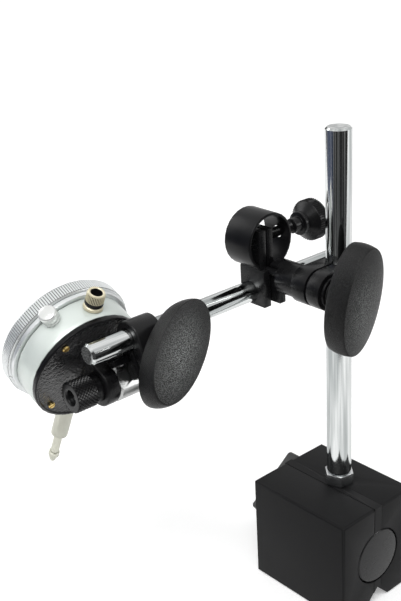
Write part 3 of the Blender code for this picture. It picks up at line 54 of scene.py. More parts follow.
# where the stand is built, as in the model's source
layout = {
    "column": (0.02971, 0.04666), "clampHeight": 0.1635, "clampReach": 0.0144, "armOffset": 0.0342,
    "armDrop": 0.0082, "endClamp": 0.0899, "endTilt": 25.0, "endBoltDrop": 0.0108, "barrelSide": 0.0166,
    "barrelDrop": 0.0156, "lugMiddle": -0.0162, "lugReach": 0.0109, "lugShift": 0.0012, "dialTilt": 22.7,
    "dialYaw": 2.5, "dialTurn": 4.4, "ringSide": 0.0344, "ringShift": 0.0030, "ringRise": 0.0164,
    "leafJoint": 0.0050, "stemDepth": 0.0089, "lockAngle": 53.0, "lockDepth": 0.0133,
    "columnKnobTurn": 17.0, "columnKnobStart": 0.01055, "endKnobTurn": 46.8, "endKnobStart": 0.0103,
}


def frameOf(origin, xAxis, yAxis, zAxis):
    made = Matrix.Identity(4)
    for column, vector in enumerate((xAxis, yAxis, zAxis, origin)):
        for row in range(3):
            made[row][column] = vector[row]
    return made


def moved(matrix, x=0.0, y=0.0, z=0.0):
    return matrix @ Matrix.Translation((x, y, z))


def spun(matrix, degrees, axis):
    return matrix @ Matrix.Rotation(math.radians(degrees), 4, axis)


columnPlace = Matrix.Translation((layout["column"][0], layout["column"][1], 0))
boltPlace = moved(columnPlace, 0, -layout["clampReach"], layout["clampHeight"])
armPlace = moved(boltPlace, -layout["armOffset"], layout["clampReach"], -layout["armDrop"])
ringPlace = moved(boltPlace, -layout["ringSide"], -layout["ringShift"], layout["ringRise"])
screwPlace = moved(boltPlace, -layout["ringSide"], -layout["leafJoint"], layout["ringRise"])
cheekLean = math.radians(layout["endTilt"])
outward = Vector((math.cos(cheekLean), 0, math.sin(cheekLean)))
upward = Vector((-math.sin(cheekLean), 0, math.cos(cheekLean)))
alongArm = Vector((0, 1, 0))
endPlace = frameOf(armPlace.translation - alongArm * layout["endClamp"], outward, alongArm, upward)
endBoltPlace = moved(endPlace, 0, 0, -layout["endBoltDrop"])
barrelPlace = moved(endPlace, -layout["barrelSide"], 0, -layout["barrelDrop"])
dialLean = math.radians(layout["dialTilt"])
dialBack = Vector((math.cos(dialLean), 0, -math.sin(dialLean)))
dialUp = Vector((math.sin(dialLean), 0, math.cos(dialLean)))
lugCentre = moved(barrelPlace, 0, layout["lugMiddle"], 0).translation
squarePlace = frameOf(lugCentre - dialBack * layout["lugReach"], -alongArm, dialUp, -dialBack)
dialPlace = spun(moved(squarePlace, -layout["lugShift"], 0, 0), -layout["dialYaw"], "Y")
dialPlace = spun(dialPlace, layout["dialTurn"], "Z")
lockPlace = moved(spun(dialPlace, layout["lockAngle"], "Z"), 0, 0, layout["lockDepth"])
spindlePlace = moved(dialPlace, 0, 0, layout["stemDepth"])
columnKnobPlace = spun(boltPlace, -layout["columnKnobTurn"], "X")
endKnobPlace = spun(endBoltPlace, -layout["endKnobTurn"], "X")
print("places worked out")


# node wrappers
class Value:
    def __init__(self, graph, socket):
        self.graph = graph
        self.socket = socket

    def calc(self, operation, *others, flipped=False):
        terms = [self, *others]
        if flipped:
            terms.reverse()
        return self.graph.add("ShaderNodeMath", {"operation": operation}, dict(enumerate(terms)))

    def __add__(self, other):
        return self.calc("ADD", other)

    __radd__ = __add__

    def __sub__(self, other):
        return self.calc("SUBTRACT", other)

    def __rsub__(self, other):
        return self.calc("SUBTRACT", other, flipped=True)

    def __mul__(self, other):
        return self.calc("MULTIPLY", other)

    __rmul__ = __mul__

    def __truediv__(self, other):
        return self.calc("DIVIDE", other)

    def __rtruediv__(self, other):
        return self.calc("DIVIDE", other, flipped=True)


class Graph:
    def __init__(self, tree):
        self.tree = tree

    def add(self, kind, settings=None, values=None, output=0):
        node = self.tree.nodes.new(kind)
        for key, value in (settings or {}).items():
            if key == "stops":
                ramp = node.color_ramp
                while len(ramp.elements) < len(value):
                    ramp.elements.new(1.0)
                for element, (place, colour) in zip(ramp.elements, value):
                    element.position = place
                    element.color = (*colour, 1.0)
            else:
                setattr(node, key, value)
        for key, value in (values or {}).items():
            if isinstance(value, Value):
                self.tree.links.new(value.socket, node.inputs[key])
            else:
                node.inputs[key].default_value = value
        return Value(self, node.outputs[output])

    def mixColour(self, factor, low, high, blend="MIX"):
        return self.add(
            "ShaderNodeMix", {"data_type": "RGBA", "blend_type": blend}, {0: factor, 6: low, 7: high}, 2
        )

    def ramp(self, factor, *stops):
        # a stop's value is one level of grey or a colour
        colours = [(place, level if isinstance(level, tuple) else (level,) * 3) for place, level in stops]
        return self.add("ShaderNodeValToRGB", {"stops": colours}, {0: factor})

    def vector(self, x, y, z):
        return self.add("ShaderNodeCombineXYZ", None, {0: x, 1: y, 2: z})

    def dot(self, vector, axis):
        return self.add(
            "ShaderNodeVectorMath", {"operation": "DOT_PRODUCT"}, {0: vector, 1: tuple(axis)}, "Value"
        )


class Finish(Graph):
    def __init__(self, name, **fixed):
        self.material = bpy.data.materials.new(name)
        self.material.use_nodes = True
        super().__init__(self.material.node_tree)
        self.tree.nodes.clear()
        self.shader = self.tree.nodes.new("ShaderNodeBsdfPrincipled")
        leave = self.tree.nodes.new("ShaderNodeOutputMaterial")
        self.tree.links.new(self.shader.outputs[0], leave.inputs[0])
        for key, value in fixed.items():
            self.shader.inputs[key.replace("_", " ")].default_value = value
        self.place = self.add("ShaderNodeTexCoord", output="Object")

    def drive(self, **links):
        for key, value in links.items():
            self.tree.links.new(value.socket, self.shader.inputs[key.replace("_", " ")])

    def noise(self, scale, detail=2.0, roughness=0.5, place=None):
        return self.add(
            "ShaderNodeTexNoise", None,
            {"Vector": place or self.place, "Scale": scale, "Detail": detail, "Roughness": roughness},
        )

    def cells(self, scale, place=None):
        return self.add("ShaderNodeTexVoronoi", None, {"Vector": place or self.place, "Scale": scale})

    def local(self, matrix):
        # the object's coordinates in a place's own axes
        spot = self.add(
            "ShaderNodeVectorMath", {"operation": "SUBTRACT"}, {0: self.place, 1: tuple(matrix.translation)}
        )
        return [self.dot(spot, axis) for axis in matrix.to_3x3().transposed()]

    def drawn(self, axis, scale, stretch):
        # the object's coordinates, drawn out along one axis
        shares = [scale * (stretch if name == axis else 1.0) for name in "XYZ"]
        return self.vector(*[part * share for part, share in zip(self.local(Matrix.Identity(4)), shares)])

    def coat(self, tone, dark, light, gloss, cloud, height=None, relief=()):
        # gloss is the lowest roughness and what the cloud adds to it, relief a bump's distance and strength
        self.drive(
            Base_Color=self.mixColour(tone, colour(*dark), colour(*light)),
            Roughness=gloss[0] + cloud * gloss[1],
        )
        if relief:
            values = {"Height": height, "Distance": relief[0], "Strength": relief[1]}
            self.drive(Normal=self.add("ShaderNodeBump", None, values))
        return self.material


# finishes
def colour(red, green, blue):
    return (red, green, blue, 1.0)


def grey(level):
    return colour(level, level, level)




def turnedLines(place, axis, density):
    # what a lathe leaves along one axis of a place
    return lambda made: (made.local(place)[axis] * density).calc("SINE")


def buttonRings(made):
    # the bezel screw's head is faced, so its lines are circles
    y, z = made.local(lockPlace)[1:]
    return ((y * y + z * z).calc("SQRT") * 16000.0).calc("SINE")


def scratches(made):
    return made.noise(1.0, 3.0, 0.6, made.drawn("Y", 1900.0, 0.05))


def plainFinish(name, cloud, gloss, dark, light, fine=None, relief=(), marks=None, **fixed):
    # cloud and fine are a noise's scale, detail and roughness; marks stand in for the fine noise
    made = Finish(name, **fixed)
    drift = made.noise(*cloud)
    height = marks(made) if marks else made.noise(*fine) if fine else None
    return made.coat(drift, dark, light, gloss, drift, height, relief)


# polished plating: bands and hair streaks are the scale and the stretch of a drawn out noise
chromeSettings = {
    "cloud": (90.0, 3.0), "streaks": (2400.0, 0.012), "bands": (330.0, 0.05), "bandShare": 0.75,
    "tones": ((0.38, 0.0), (0.62, 1.0)), "dark": (0.34, 0.36, 0.36), "light": (0.68, 0.695, 0.69),
    "gloss": (0.06, 0.07), "relief": (0.00002, 0.15),
}


def chromeFinish(name, axis):
    s = chromeSettings
    made = Finish(name, Metallic=1.0)
    cloud = made.noise(*s["cloud"])
    streak = made.noise(1.0, 3.0, 0.6, made.drawn(axis, *s["streaks"]))
    band = made.noise(1.0, 2.0, 0.5, made.drawn(axis, *s["bands"]))
    tone = made.ramp(band * s["bandShare"] + streak * (1 - s["bandShare"]), *s["tones"])
    return made.coat(tone, s["dark"], s["light"], s["gloss"], cloud, streak, s["relief"])


# the knobs' crowned faces, with a painted sheen: the colour is lighter towards a spot near the middle
grainSettings = {
    "pits": 2400.0, "pitShare": 0.5, "grain": (3000.0, 3.0, 0.6), "grainShare": 0.8, "cloud": (60.0, 3.0),
    "drift": 0.2, "halfWidth": 0.0115, "halfLength": 0.025,
    "sheenStops": ((0.15, 1.0), (0.55, 0.55), (1.0, 0.10)), "speckStops": ((0.60, 0.0), (0.74, 1.0)),
    "dark": (0.006, 0.006, 0.0062), "light": (0.24, 0.25, 0.245), "gloss": (0.34, 0.12),
    "relief": (0.00034, 1.0),
}


def grainFinish(name, place, side, grainSheenLevel):
    s = grainSettings
    made = Finish(name, Specular_IOR_Level=0.3)
    cloud = made.noise(*s["cloud"])
    height = made.noise(*s["grain"]) * s["grainShare"] + made.cells(s["pits"]) * s["pitShare"]
    y, z = made.local(place)[1:]
    across, along = (y + side[0]) / s["halfWidth"], (z + side[1]) / s["halfLength"]
    reach = (across * across + along * along).calc("SQRT")
    # painted sheen: the base colour is lighter near a spot on the face and darker towards its edges; the
    # last argument scales the specks and this painted sheen
    paintedSheen = made.ramp(reach + cloud * s["drift"], *s["sheenStops"])
    speck = made.ramp(height, *s["speckStops"])
    return made.coat(speck * paintedSheen * grainSheenLevel, s["dark"], s["light"], s["gloss"], cloud, height, s["relief"])


wallSettings = {
    "grain": (2300.0, 3.0, 0.6), "cloud": (60.0, 3.0), "stops": ((0.46, 0.0), (0.72, 1.0)),
    "dark": (0.001, 0.001, 0.001), "light": (0.022, 0.022, 0.022), "gloss": (0.34, 0.14),
    "relief": (0.00022, 0.9),
}


def wallFinish():
    s = wallSettings
    made = Finish("knobWallPlastic", Specular_IOR_Level=0.2)
    grain = made.noise(*s["grain"])
    speck = made.ramp(grain, *s["stops"])
    return made.coat(speck, s["dark"], s["light"], s["gloss"], made.noise(*s["cloud"]), grain, s["relief"])


# hammered enamel: dimples pushed about by a slower noise
hammerSettings = {
    "warp": (420.0, 3.0, 0.6), "push": 1.1, "dimples": 880.0, "stops": ((0.15, 0.0), (0.75, 1.0)),
    "fine": 2600.0, "fineShare": 0.2, "cloud": (150.0, 2.0), "dark": (0.006, 0.006, 0.0065),
    "light": (0.022, 0.022, 0.023), "gloss": (0.20, 0.14), "relief": (0.00026, 0.9),
}


def coverFinish():
    s = hammerSettings
    made = Finish("hammeredBlack")
    push = made.noise(*s["warp"]) * s["push"]
    dimples = made.cells(1.0, made.vector(*[part * s["dimples"] + push for part in made.local(dialPlace)]))
    tone = made.ramp(dimples, *s["stops"])
    height = dimples + made.noise(s["fine"]) * s["fineShare"]
    return made.coat(tone, s["dark"], s["light"], s["gloss"], made.noise(*s["cloud"]), height, s["relief"])


finishes = {
    "chrome": chromeFinish("columnChrome", "Z"),
    "armChrome": chromeFinish("armChrome", "Y"),
    # the column knob gets a weaker painted sheen than the end knob
    "columnGrain": grainFinish("columnKnobGrainSheen", columnKnobPlace, (0.0015, 0.004), 0.55),
    "endGrain": grainFinish("endKnobGrainSheen", endKnobPlace, (0.001, 0.003), 0.9),
    "wall": wallFinish(),
    "cover": coverFinish(),
    "bright": plainFinish(
        "brightZinc", cloud=(160.0, 4.0), gloss=(0.18, 0.16), dark=(0.48, 0.49, 0.50),
        light=(0.64, 0.65, 0.65), fine=(3000.0, 2.0), relief=(0.00003, 0.4), Metallic=1.0,
    ),
    "satinSteel": plainFinish(
        "satinSteel", cloud=(140.0, 4.0), gloss=(0.24, 0.12), dark=(0.34, 0.345, 0.34),
        light=(0.46, 0.465, 0.46), fine=(2400.0, 3.0), relief=(0.00003, 0.3), Metallic=1.0,
    ),
    "button": plainFinish(
        "satinButton", cloud=(260.0, 3.0), gloss=(0.18, 0.12), dark=(0.64, 0.65, 0.64),
        light=(0.80, 0.81, 0.79), relief=(0.000006, 0.5), marks=buttonRings, Metallic=0.55,
    ),
    "nickel": plainFinish(
        "warmNickel", cloud=(220.0, 3.0), gloss=(0.24, 0.16), dark=(0.60, 0.54, 0.36),
        light=(0.80, 0.75, 0.58), fine=(3400.0, 2.0), relief=(0.00002, 0.3), Metallic=0.35,
    ),
    "paleNickel": plainFinish(
        "paleNickel", cloud=(260.0, 3.0), gloss=(0.34, 0.14), dark=(0.54, 0.54, 0.46),
        light=(0.66, 0.66, 0.57), fine=(3000.0, 2.0), relief=(0.00002, 0.4), Metallic=0.55,
    ),
    "brass": plainFinish(
        "turnedBrass", cloud=(300.0, 4.0), gloss=(0.20, 0.2), dark=(0.60, 0.42, 0.13),
        light=(0.80, 0.62, 0.26), fine=(2500.0, 2.0), relief=(0.00003, 0.4), Metallic=1.0,
    ),
    "base": plainFinish(
        "mattBlackEnamel", cloud=(45.0, 4.0), gloss=(0.44, 0.16), dark=(0.004, 0.004, 0.0044),
        light=(0.009, 0.009, 0.0095), fine=(900.0, 2.0, 0.4), relief=(0.00005, 0.5),
        Specular_IOR_Level=0.12,
    ),
    "plastic": plainFinish(
        "smoothPlastic", cloud=(70.0, 3.0), gloss=(0.25, 0.12), dark=(0.004, 0.004, 0.0044),
        light=(0.009, 0.009, 0.0095), fine=(1500.0, 2.0), relief=(0.00004, 0.45), Specular_IOR_Level=0.3,
    ),
    "darkSteel": plainFinish(
        "blackenedSteel", cloud=(130.0, 4.0), gloss=(0.20, 0.16), dark=(0.003, 0.003, 0.0035),
        light=(0.010, 0.010, 0.0105), relief=(0.00003, 0.5), marks=scratches, Specular_IOR_Level=0.24,
    ),
    "turned": plainFinish(
        "turnedBlackSteel", cloud=(150.0, 3.0), gloss=(0.18, 0.16), dark=(0.003, 0.003, 0.0035),
        light=(0.010, 0.010, 0.0105), relief=(0.00001, 0.6), marks=turnedLines(boltPlace, 0, 11000.0),
        Specular_IOR_Level=0.17,
    ),
    "ring": plainFinish(
        "satinBlackRing", cloud=(80.0, 3.0), gloss=(0.24, 0.14), dark=(0.003, 0.003, 0.0035),
        light=(0.009, 0.009, 0.0098), relief=(0.000008, 0.6), marks=turnedLines(ringPlace, 0, 9000.0),
        Specular_IOR_Level=0.13,
    ),
    "case": plainFinish(
        "paleSatinLacquer", cloud=(70.0, 3.0), gloss=(0.29, 0.1), dark=(0.61, 0.67, 0.63),
        light=(0.69, 0.74, 0.71), fine=(5200.0, 1.0), relief=(0.00003, 0.3), Metallic=0.2, Coat_Weight=0.25,
        Coat_Roughness=0.18,
    ),
    "bezel": plainFinish(
        "satinBezel", cloud=(120.0, 3.0), gloss=(0.22, 0.14), dark=(0.66, 0.68, 0.68),
        light=(0.78, 0.80, 0.80), relief=(0.000008, 0.5), marks=turnedLines(dialPlace, 2, 14000.0),
        Metallic=0.6,
    ),
    # painted shade: a dark finish for the bezel's groove floors and recess, where shade falls
    "groove": plainFinish(
        "bezelPaintedShade", cloud=(500.0, 2.0), gloss=(0.42, 0.16), dark=(0.09, 0.095, 0.095),
        light=(0.16, 0.165, 0.165), Metallic=0.3,
    ),
    "spring": plainFinish(
        "springSteel", cloud=(900.0, 2.0), gloss=(0.24, 0.16), dark=(0.30, 0.31, 0.32),
        light=(0.52, 0.52, 0.53), Metallic=1.0,
    ),
    "face": plainFinish(
        "whiteDialLacquer", cloud=(240.0, 3.0), gloss=(0.36, 0.12), dark=(0.80, 0.80, 0.78),
        light=(0.86, 0.86, 0.84),
    ),
    "ink": plainFinish(
        "dialInk", cloud=(700.0, 2.0), gloss=(0.34, 0.14), dark=(0.010, 0.010, 0.010),
        light=(0.022, 0.022, 0.022),
    ),
    "redInk": plainFinish(
        "counterInk", cloud=(700.0, 2.0), gloss=(0.34, 0.14), dark=(0.50, 0.03, 0.02),
        light=(0.58, 0.05, 0.03),
    ),
    "pointer": plainFinish(
        "pointerLacquer", cloud=(700.0, 2.0), gloss=(0.34, 0.14), dark=(0.008, 0.008, 0.009),
        light=(0.018, 0.018, 0.019),
    ),
    "glass": plainFinish(
        "clearCrystal", cloud=(90.0, 2.0), gloss=(0.004, 0.012), dark=(0.965, 0.98, 0.975),
        light=(0.985, 0.99, 0.985), IOR=1.49, Transmission_Weight=1.0,
    ),
    "magnet": plainFinish(
        "sinteredMagnet", cloud=(400.0, 5.0), gloss=(0.45, 0.2), dark=(0.09, 0.09, 0.095),
        light=(0.20, 0.20, 0.205), fine=(400.0, 5.0), relief=(0.0001, 0.4), Metallic=0.3,
    ),
}
print("finishes made:", len(finishes))


# mesh helpers
def finishPiece(name, bm, matrix, finish, body, stands=(), slot=None, sharp=35.0, extra=()):
    bmesh.ops.remove_doubles(bm, verts=bm.verts, dist=1e-7)
    bmesh.ops.recalc_face_normals(bm, faces=bm.faces)
    if matrix is not None:
        bm.transform(matrix)
    mesh = bpy.data.meshes.new(name)
    bm.to_mesh(mesh)
    bm.free()
    mesh.shade_smooth()
    mesh.set_sharp_from_angle(angle=math.radians(sharp))
    piece = bpy.data.objects.new(name, mesh)
    bpy.context.scene.collection.objects.link(piece)
    mesh.materials.append(finishes[finish])
    for more in extra:
        mesh.materials.append(finishes[more])
    if stands:
        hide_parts(*stands)
    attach(piece, body)
    return piece


# what turns a shape made along Z to run along another axis
turns = {
    "Z": Matrix.Identity(4),
    "X": Matrix(((0, 0, 1, 0), (1, 0, 0, 0), (0, 1, 0, 0), (0, 0, 0, 1))),
    "Y": Matrix(((0, 1, 0, 0), (0, 0, 1, 0), (1, 0, 0, 0), (0, 0, 0, 1))),
}


def skin(rings, axis="Z", closed=False):
    bm = bmesh.new()
    made = [[bm.verts.new(turns[axis] @ Vector(point)) for point in ring] for ring in rings]
    pairs = list(zip(made, made[1:]))
    if closed:
        pairs.append((made[-1], made[0]))
    for low, high in pairs:
        count = max(len(low), len(high))
        for i in range(count):
            j = (i + 1) % count
            if len(low) == 1:
                bm.faces.new((low[0], high[j], high[i]))
            elif len(high) == 1:
                bm.faces.new((low[i], low[j], high[0]))
            else:
                bm.faces.new((low[i], low[j], high[j], high[i]))
    if not closed:
        for ring in (made[0], made[-1]):
            if len(ring) > 2:
                bm.faces.new(ring)
    return bm


def roundRing(radius, along, count):
    if radius == 0:
        return [(0, 0, along)]
    return [
        (radius * math.cos(fullTurn * i / count), radius * math.sin(fullTurn * i / count), along)
        for i in range(count)
    ]


def lathe(profile, count=96, axis="Z", closed=False):
    return skin([roundRing(radius, along, count) for radius, along in profile], axis, closed)


def roundedProfile(corners, bend, steps=3):
    # softens each inner corner of a radius-along profile
    found = [corners[0]]
    for before, corner, after in zip(corners, corners[1:], corners[2:]):
        a, b, c = Vector(before), Vector(corner), Vector(after)
        first, second = a - b, c - b
        cut = min(bend, 0.45 * first.length, 0.45 * second.length)  # under half of each side
        start, end = b + first.normalized() * cut, b + second.normalized() * cut
        for step in range(steps + 1):
            t = step / steps
            spot = start * (1 - t) ** 2 + b * 2 * t * (1 - t) + end * t**2
            found.append((spot.x, spot.y))
    found.append(corners[-1])
    return found


# easing a model solid: which points merge, which edges are flat, which are corners (degrees)
easing = {"merge": 2e-6, "flat": 1.0, "corner": 38.0, "roundness": 0.6}


def refined(node, finish, bevel=0.0, slot=None, sharp=35.0, other=None):
    # a merged copy of a model solid with its edges eased; other is a second finish and where it goes
    bm = bmesh.new()
    bm.from_mesh(nodes[node].data)
    bmesh.ops.remove_doubles(bm, verts=bm.verts, dist=easing["merge"])
    bmesh.ops.dissolve_limit(bm, angle_limit=math.radians(easing["flat"]), verts=bm.verts, edges=bm.edges)
    if bevel:
        corner = math.radians(easing["corner"])
        picked = [e for e in bm.edges if len(e.link_faces) == 2 and e.calc_face_angle(0) > corner]
        bmesh.ops.bevel(
            bm, geom=picked, offset=bevel, segments=2, profile=easing["roundness"], affect="EDGES",
            clamp_overlap=True,
        )
    if other:
        for face in bm.faces:
            face.material_index = 1 if other[1](face.calc_center_median()) else 0
    extra = (other[0],) if other else ()
    return finishPiece(node + "_piece", bm, None, finish, bodyOf[node], (node,), slot, sharp, extra)


def refinedRows(rows):
    # each row is some nodes, their finish and their bevel
    for names, finish, bevel in rows:
        for node in names.split():
            refined(node, finish, bevel)


def repeatTree():
    # points on rows of circles, an item on each, turned to face outwards
    tree = bpy.data.node_groups.new("repeatRound", "GeometryNodeTree")
    for kind, labels in (
        ("Object", ("Item",)), ("Material", ("Finish",)), ("Int", ("Count", "Rows", "Seed")),
        ("Float", ("Radius", "Row Step", "Row Turn", "Start", "Loose Turn")),
    ):
        for label in labels:
            tree.interface.new_socket(label, in_out="INPUT", socket_type="NodeSocket" + kind)
    tree.interface.new_socket("Geometry", in_out="OUTPUT", socket_type="NodeSocketGeometry")
    graph = Graph(tree)
    entry = tree.nodes.new("NodeGroupInput")
    given = {socket.name: Value(graph, socket) for socket in entry.outputs if socket.name}
    index = graph.add("GeometryNodeInputIndex")
    row = (index / given["Count"]).calc("FLOOR")
    step = index - row * given["Count"]
    angle = given["Start"] + (step + row * given["Row Turn"]) * fullTurn / given["Count"]
    across = [angle.calc(operation) * given["Radius"] for operation in ("COSINE", "SINE")]
    spot = graph.vector(*across, row * given["Row Step"])
    points = graph.add(
        "GeometryNodePoints", None, {"Count": given["Count"] * given["Rows"], "Position": spot}
    )
    loose = graph.add(
        "FunctionNodeRandomValue", {"data_type": "FLOAT"}, {"ID": index, "Seed": given["Seed"]}, 1
    )
    facing = graph.vector(0.0, 0.0, angle + loose * given["Loose Turn"])
    item = graph.add("GeometryNodeObjectInfo", None, {"Object": given["Item"]}, "Geometry")
    spread = graph.add(
        "GeometryNodeInstanceOnPoints", None, {"Points": points, "Instance": item, "Rotation": facing},
        "Instances",
    )
    solid = graph.add("GeometryNodeRealizeInstances", None, {"Geometry": spread})
    painted = graph.add("GeometryNodeSetMaterial", None, {"Geometry": solid, "Material": given["Finish"]})
    leave = tree.nodes.new("NodeGroupOutput")
    tree.links.new(painted.socket, leave.inputs[0])
    return tree


roundTree = repeatTree()
plainRepeat = {"Rows": 1, "Row Step": 0.0, "Row Turn": 0.0, "Start": 0.0, "Loose Turn": 0.0, "Seed": 1}


def repeatRound(name, itemMesh, settings, matrix, finish, body, joinTo=None, **rest):
    # the item all round an axis, joined to a turned body where there is one
    item = bpy.data.objects.new(name + "_item", itemMesh)
    host = bpy.data.objects.new(name + "_host", bpy.data.meshes.new(name + "_host"))
    for thing in (item, host):
        bpy.context.scene.collection.objects.link(thing)
    spread = host.modifiers.new("repeat", "NODES")
    spread.node_group = roundTree
    given = {"Item": item, "Finish": finishes[finish], **plainRepeat, **settings}
    for socket in roundTree.interface.items_tree:
        if socket.in_out == "INPUT":
            spread[socket.identifier] = given[socket.name]
    bpy.context.view_layer.update()
    mesh = bpy.data.meshes.new_from_object(host.evaluated_get(bpy.context.evaluated_depsgraph_get()))
    for face in mesh.polygons:  # the repeated item takes the first finish
        face.material_index = 0
    bm = joinTo or bmesh.new()
    bm.from_mesh(mesh)
    host.modifiers.clear()
    for thing in (host, item):
        bpy.data.objects.remove(thing)
    return finishPiece(name, bm, matrix, finish, body, **rest)


def itemFrom(bm, name):
    mesh = bpy.data.meshes.new(name)
    bmesh.ops.recalc_face_normals(bm, faces=bm.faces)
    bm.to_mesh(mesh)
    bm.free()
    return mesh


def ridgeItem(name, length, base, top, depth):
    # a ridge that stands out along +X and runs along Z, sharp where it has no top
    bm = bmesh.new()
    crest = [(depth, -top / 2), (depth, top / 2)] if top else [(depth, 0)]
    outline = [(0, -base / 2), *crest, (0, base / 2)]
    low, high = ([bm.verts.new((a, b, end)) for a, b in outline] for end in (-length / 2, length / 2))
    bm.faces.new(low[::-1])
    bm.faces.new(high)
    for i in range(len(outline)):
        j = (i + 1) % len(outline)
        bm.faces.new((low[i], low[j], high[j], high[i]))
    return itemFrom(bm, name)


def studItem(name, width, height, depth):
    # a four-sided pyramid that stands out along +X
    bm = bmesh.new()
    around = ((0, -width / 2, 0), (0, 0, -height / 2), (0, width / 2, 0), (0, 0, height / 2))
    corners = [bm.verts.new(point) for point in around]
    tip = bm.verts.new((depth, 0, 0))
    bm.faces.new(corners)
    for i in range(4):
        bm.faces.new((corners[i], corners[(i + 1) % 4], tip))
    return itemFrom(bm, name)


def barItem(name, length, width, height):
    bm = bmesh.new()
    bmesh.ops.create_cube(bm, size=1.0)
    bm.transform(Matrix.Diagonal((length, width, height, 1.0)))
    return itemFrom(bm, name)


def shifted(bm, along):
    bmesh.ops.translate(bm, vec=(0, 0, along), verts=bm.verts)
    return bm


# base, column and arm
for node in ("near_pole", "far_pole"):
    refined(node, "base", 0.0006, slot="pole_paint")
refinedRows((
    ("upper_spacer lower_spacer", "base", 0.0),
    ("switch_side_cap blind_side_cap", "darkSteel", 0.0003),
    ("column_nut", "bright", 0.0002),
    ("magnet_rotor", "magnet", 0.0003),
    ("switch_lever", "plastic", 0.0009),
    ("lever_screw", "bright", 0.00015),
    ("column", "chrome", 0.0),
    ("arm_rod", "armChrome", 0.0),
))
print("base, column and arm done")

# clamps and adjuster
refinedRows((
    ("column_clamp adjuster_body", "turned", 0.0004),
    ("arm_holder end_clamp", "darkSteel", 0.0004),
    ("column_washer end_washer pivot_pin", "turned", 0.0001),
    ("cross_bolt end_bolt lug_stud", "bright", 0.0001),
    ("lug_barrel", "satinSteel", 0.0),
    ("grip_block", "turned", 0.0002),
    ("adjuster_ring", "ring", 0.0002),
))
refined("return_spring", "spring", sharp=80.0)
# the adjuster's spring gets a mesh of its own; in the stand it gives way as the holder's leaf closes on it
adjusterSpring = refined("adjuster_spring", "spring", sharp=80.0)
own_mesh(adjusterSpring)
print("clamps and adjuster done")

# the fine adjusting screw, its rim cut with straight ridges
adjustSettings = {
    "thread": 0.0025, "root": 0.0022, "pitch": 0.0008, "shank": 0.0037, "collar": 0.0058, "head": 0.0096,
    "tipAt": -0.0001, "shankAt": 0.02395, "collarAt": 0.02855, "coneAt": 0.03075, "headAt": 0.03455,
    "headEnd": 0.04025, "rim": 0.0080, "dish": 0.0074, "dishDepth": 0.0005, "edge": 0.0003, "ridges": 52,
    "ridge": 0.0007, "ridgeWidth": 0.00072, "sunk": 0.00015,
}


def adjustScrew():
    s = adjustSettings
    profile = [(0, s["tipAt"]), (s["root"], s["tipAt"])]
    along = s["tipAt"] + s["pitch"] / 4
    while along < s["shankAt"] - s["pitch"]:  # thread crests
        profile += [(s["root"], along), (s["thread"], along + s["pitch"] / 2)]
        along += s["pitch"]
    profile += roundedProfile(
        [
            (s["root"], s["shankAt"] - 0.0004), (s["shank"], s["shankAt"]), (s["shank"], s["collarAt"]),
            (s["collar"], s["collarAt"]), (s["collar"], s["coneAt"]), (s["shank"], s["coneAt"] + 0.0002),
            (s["head"], s["headAt"]), (s["head"], s["headEnd"]), (s["rim"], s["headEnd"]),
            (s["dish"], s["headEnd"] - s["dishDepth"]), (0, s["headEnd"] - s["dishDepth"]),
        ],
        s["edge"],
    )
    middle = (s["headAt"] + s["headEnd"]) / 2
    length = s["headEnd"] - s["headAt"] - 2 * s["edge"]
    return repeatRound(
        "adjuster_screw_piece", ridgeItem("adjustRidge", length, s["ridgeWidth"], 0, s["ridge"]),
        {"Count": s["ridges"], "Radius": s["head"] - s["sunk"]},
        moved(screwPlace, 0, middle, 0) @ turns["Y"], "turned", "adjuster_screw",
        joinTo=shifted(lathe(profile, 96), -middle), stands=("adjuster_screw",), slot="black_steel",
    )


adjustScrew()

# the two wing knobs: a nearly upright wall, a soft ridge and a crowned, grained face
knobSettings = {
    "hub": 0.0066, "hubLength": 0.0052, "hubEdge": 0.0004, "hubFoot": 0.0006, "thickness": 0.0144,
    "crown": 0.0028, "length": 0.0504, "width": 0.0234, "power": 2.05, "backShare": 0.975,
    "frontShare": 0.965, "widestAt": 0.45, "edge": 0.0004, "bolt": 0.00425, "boltDepth": 0.0103,
    "boltEdge": 0.0003, "backTuck": (0.035, 0.010), "frontTuck": (0.004, 0.014), "points": 160,
    "wallSteps": 10, "faceSteps": 12, "faceShare": 0.96,
}


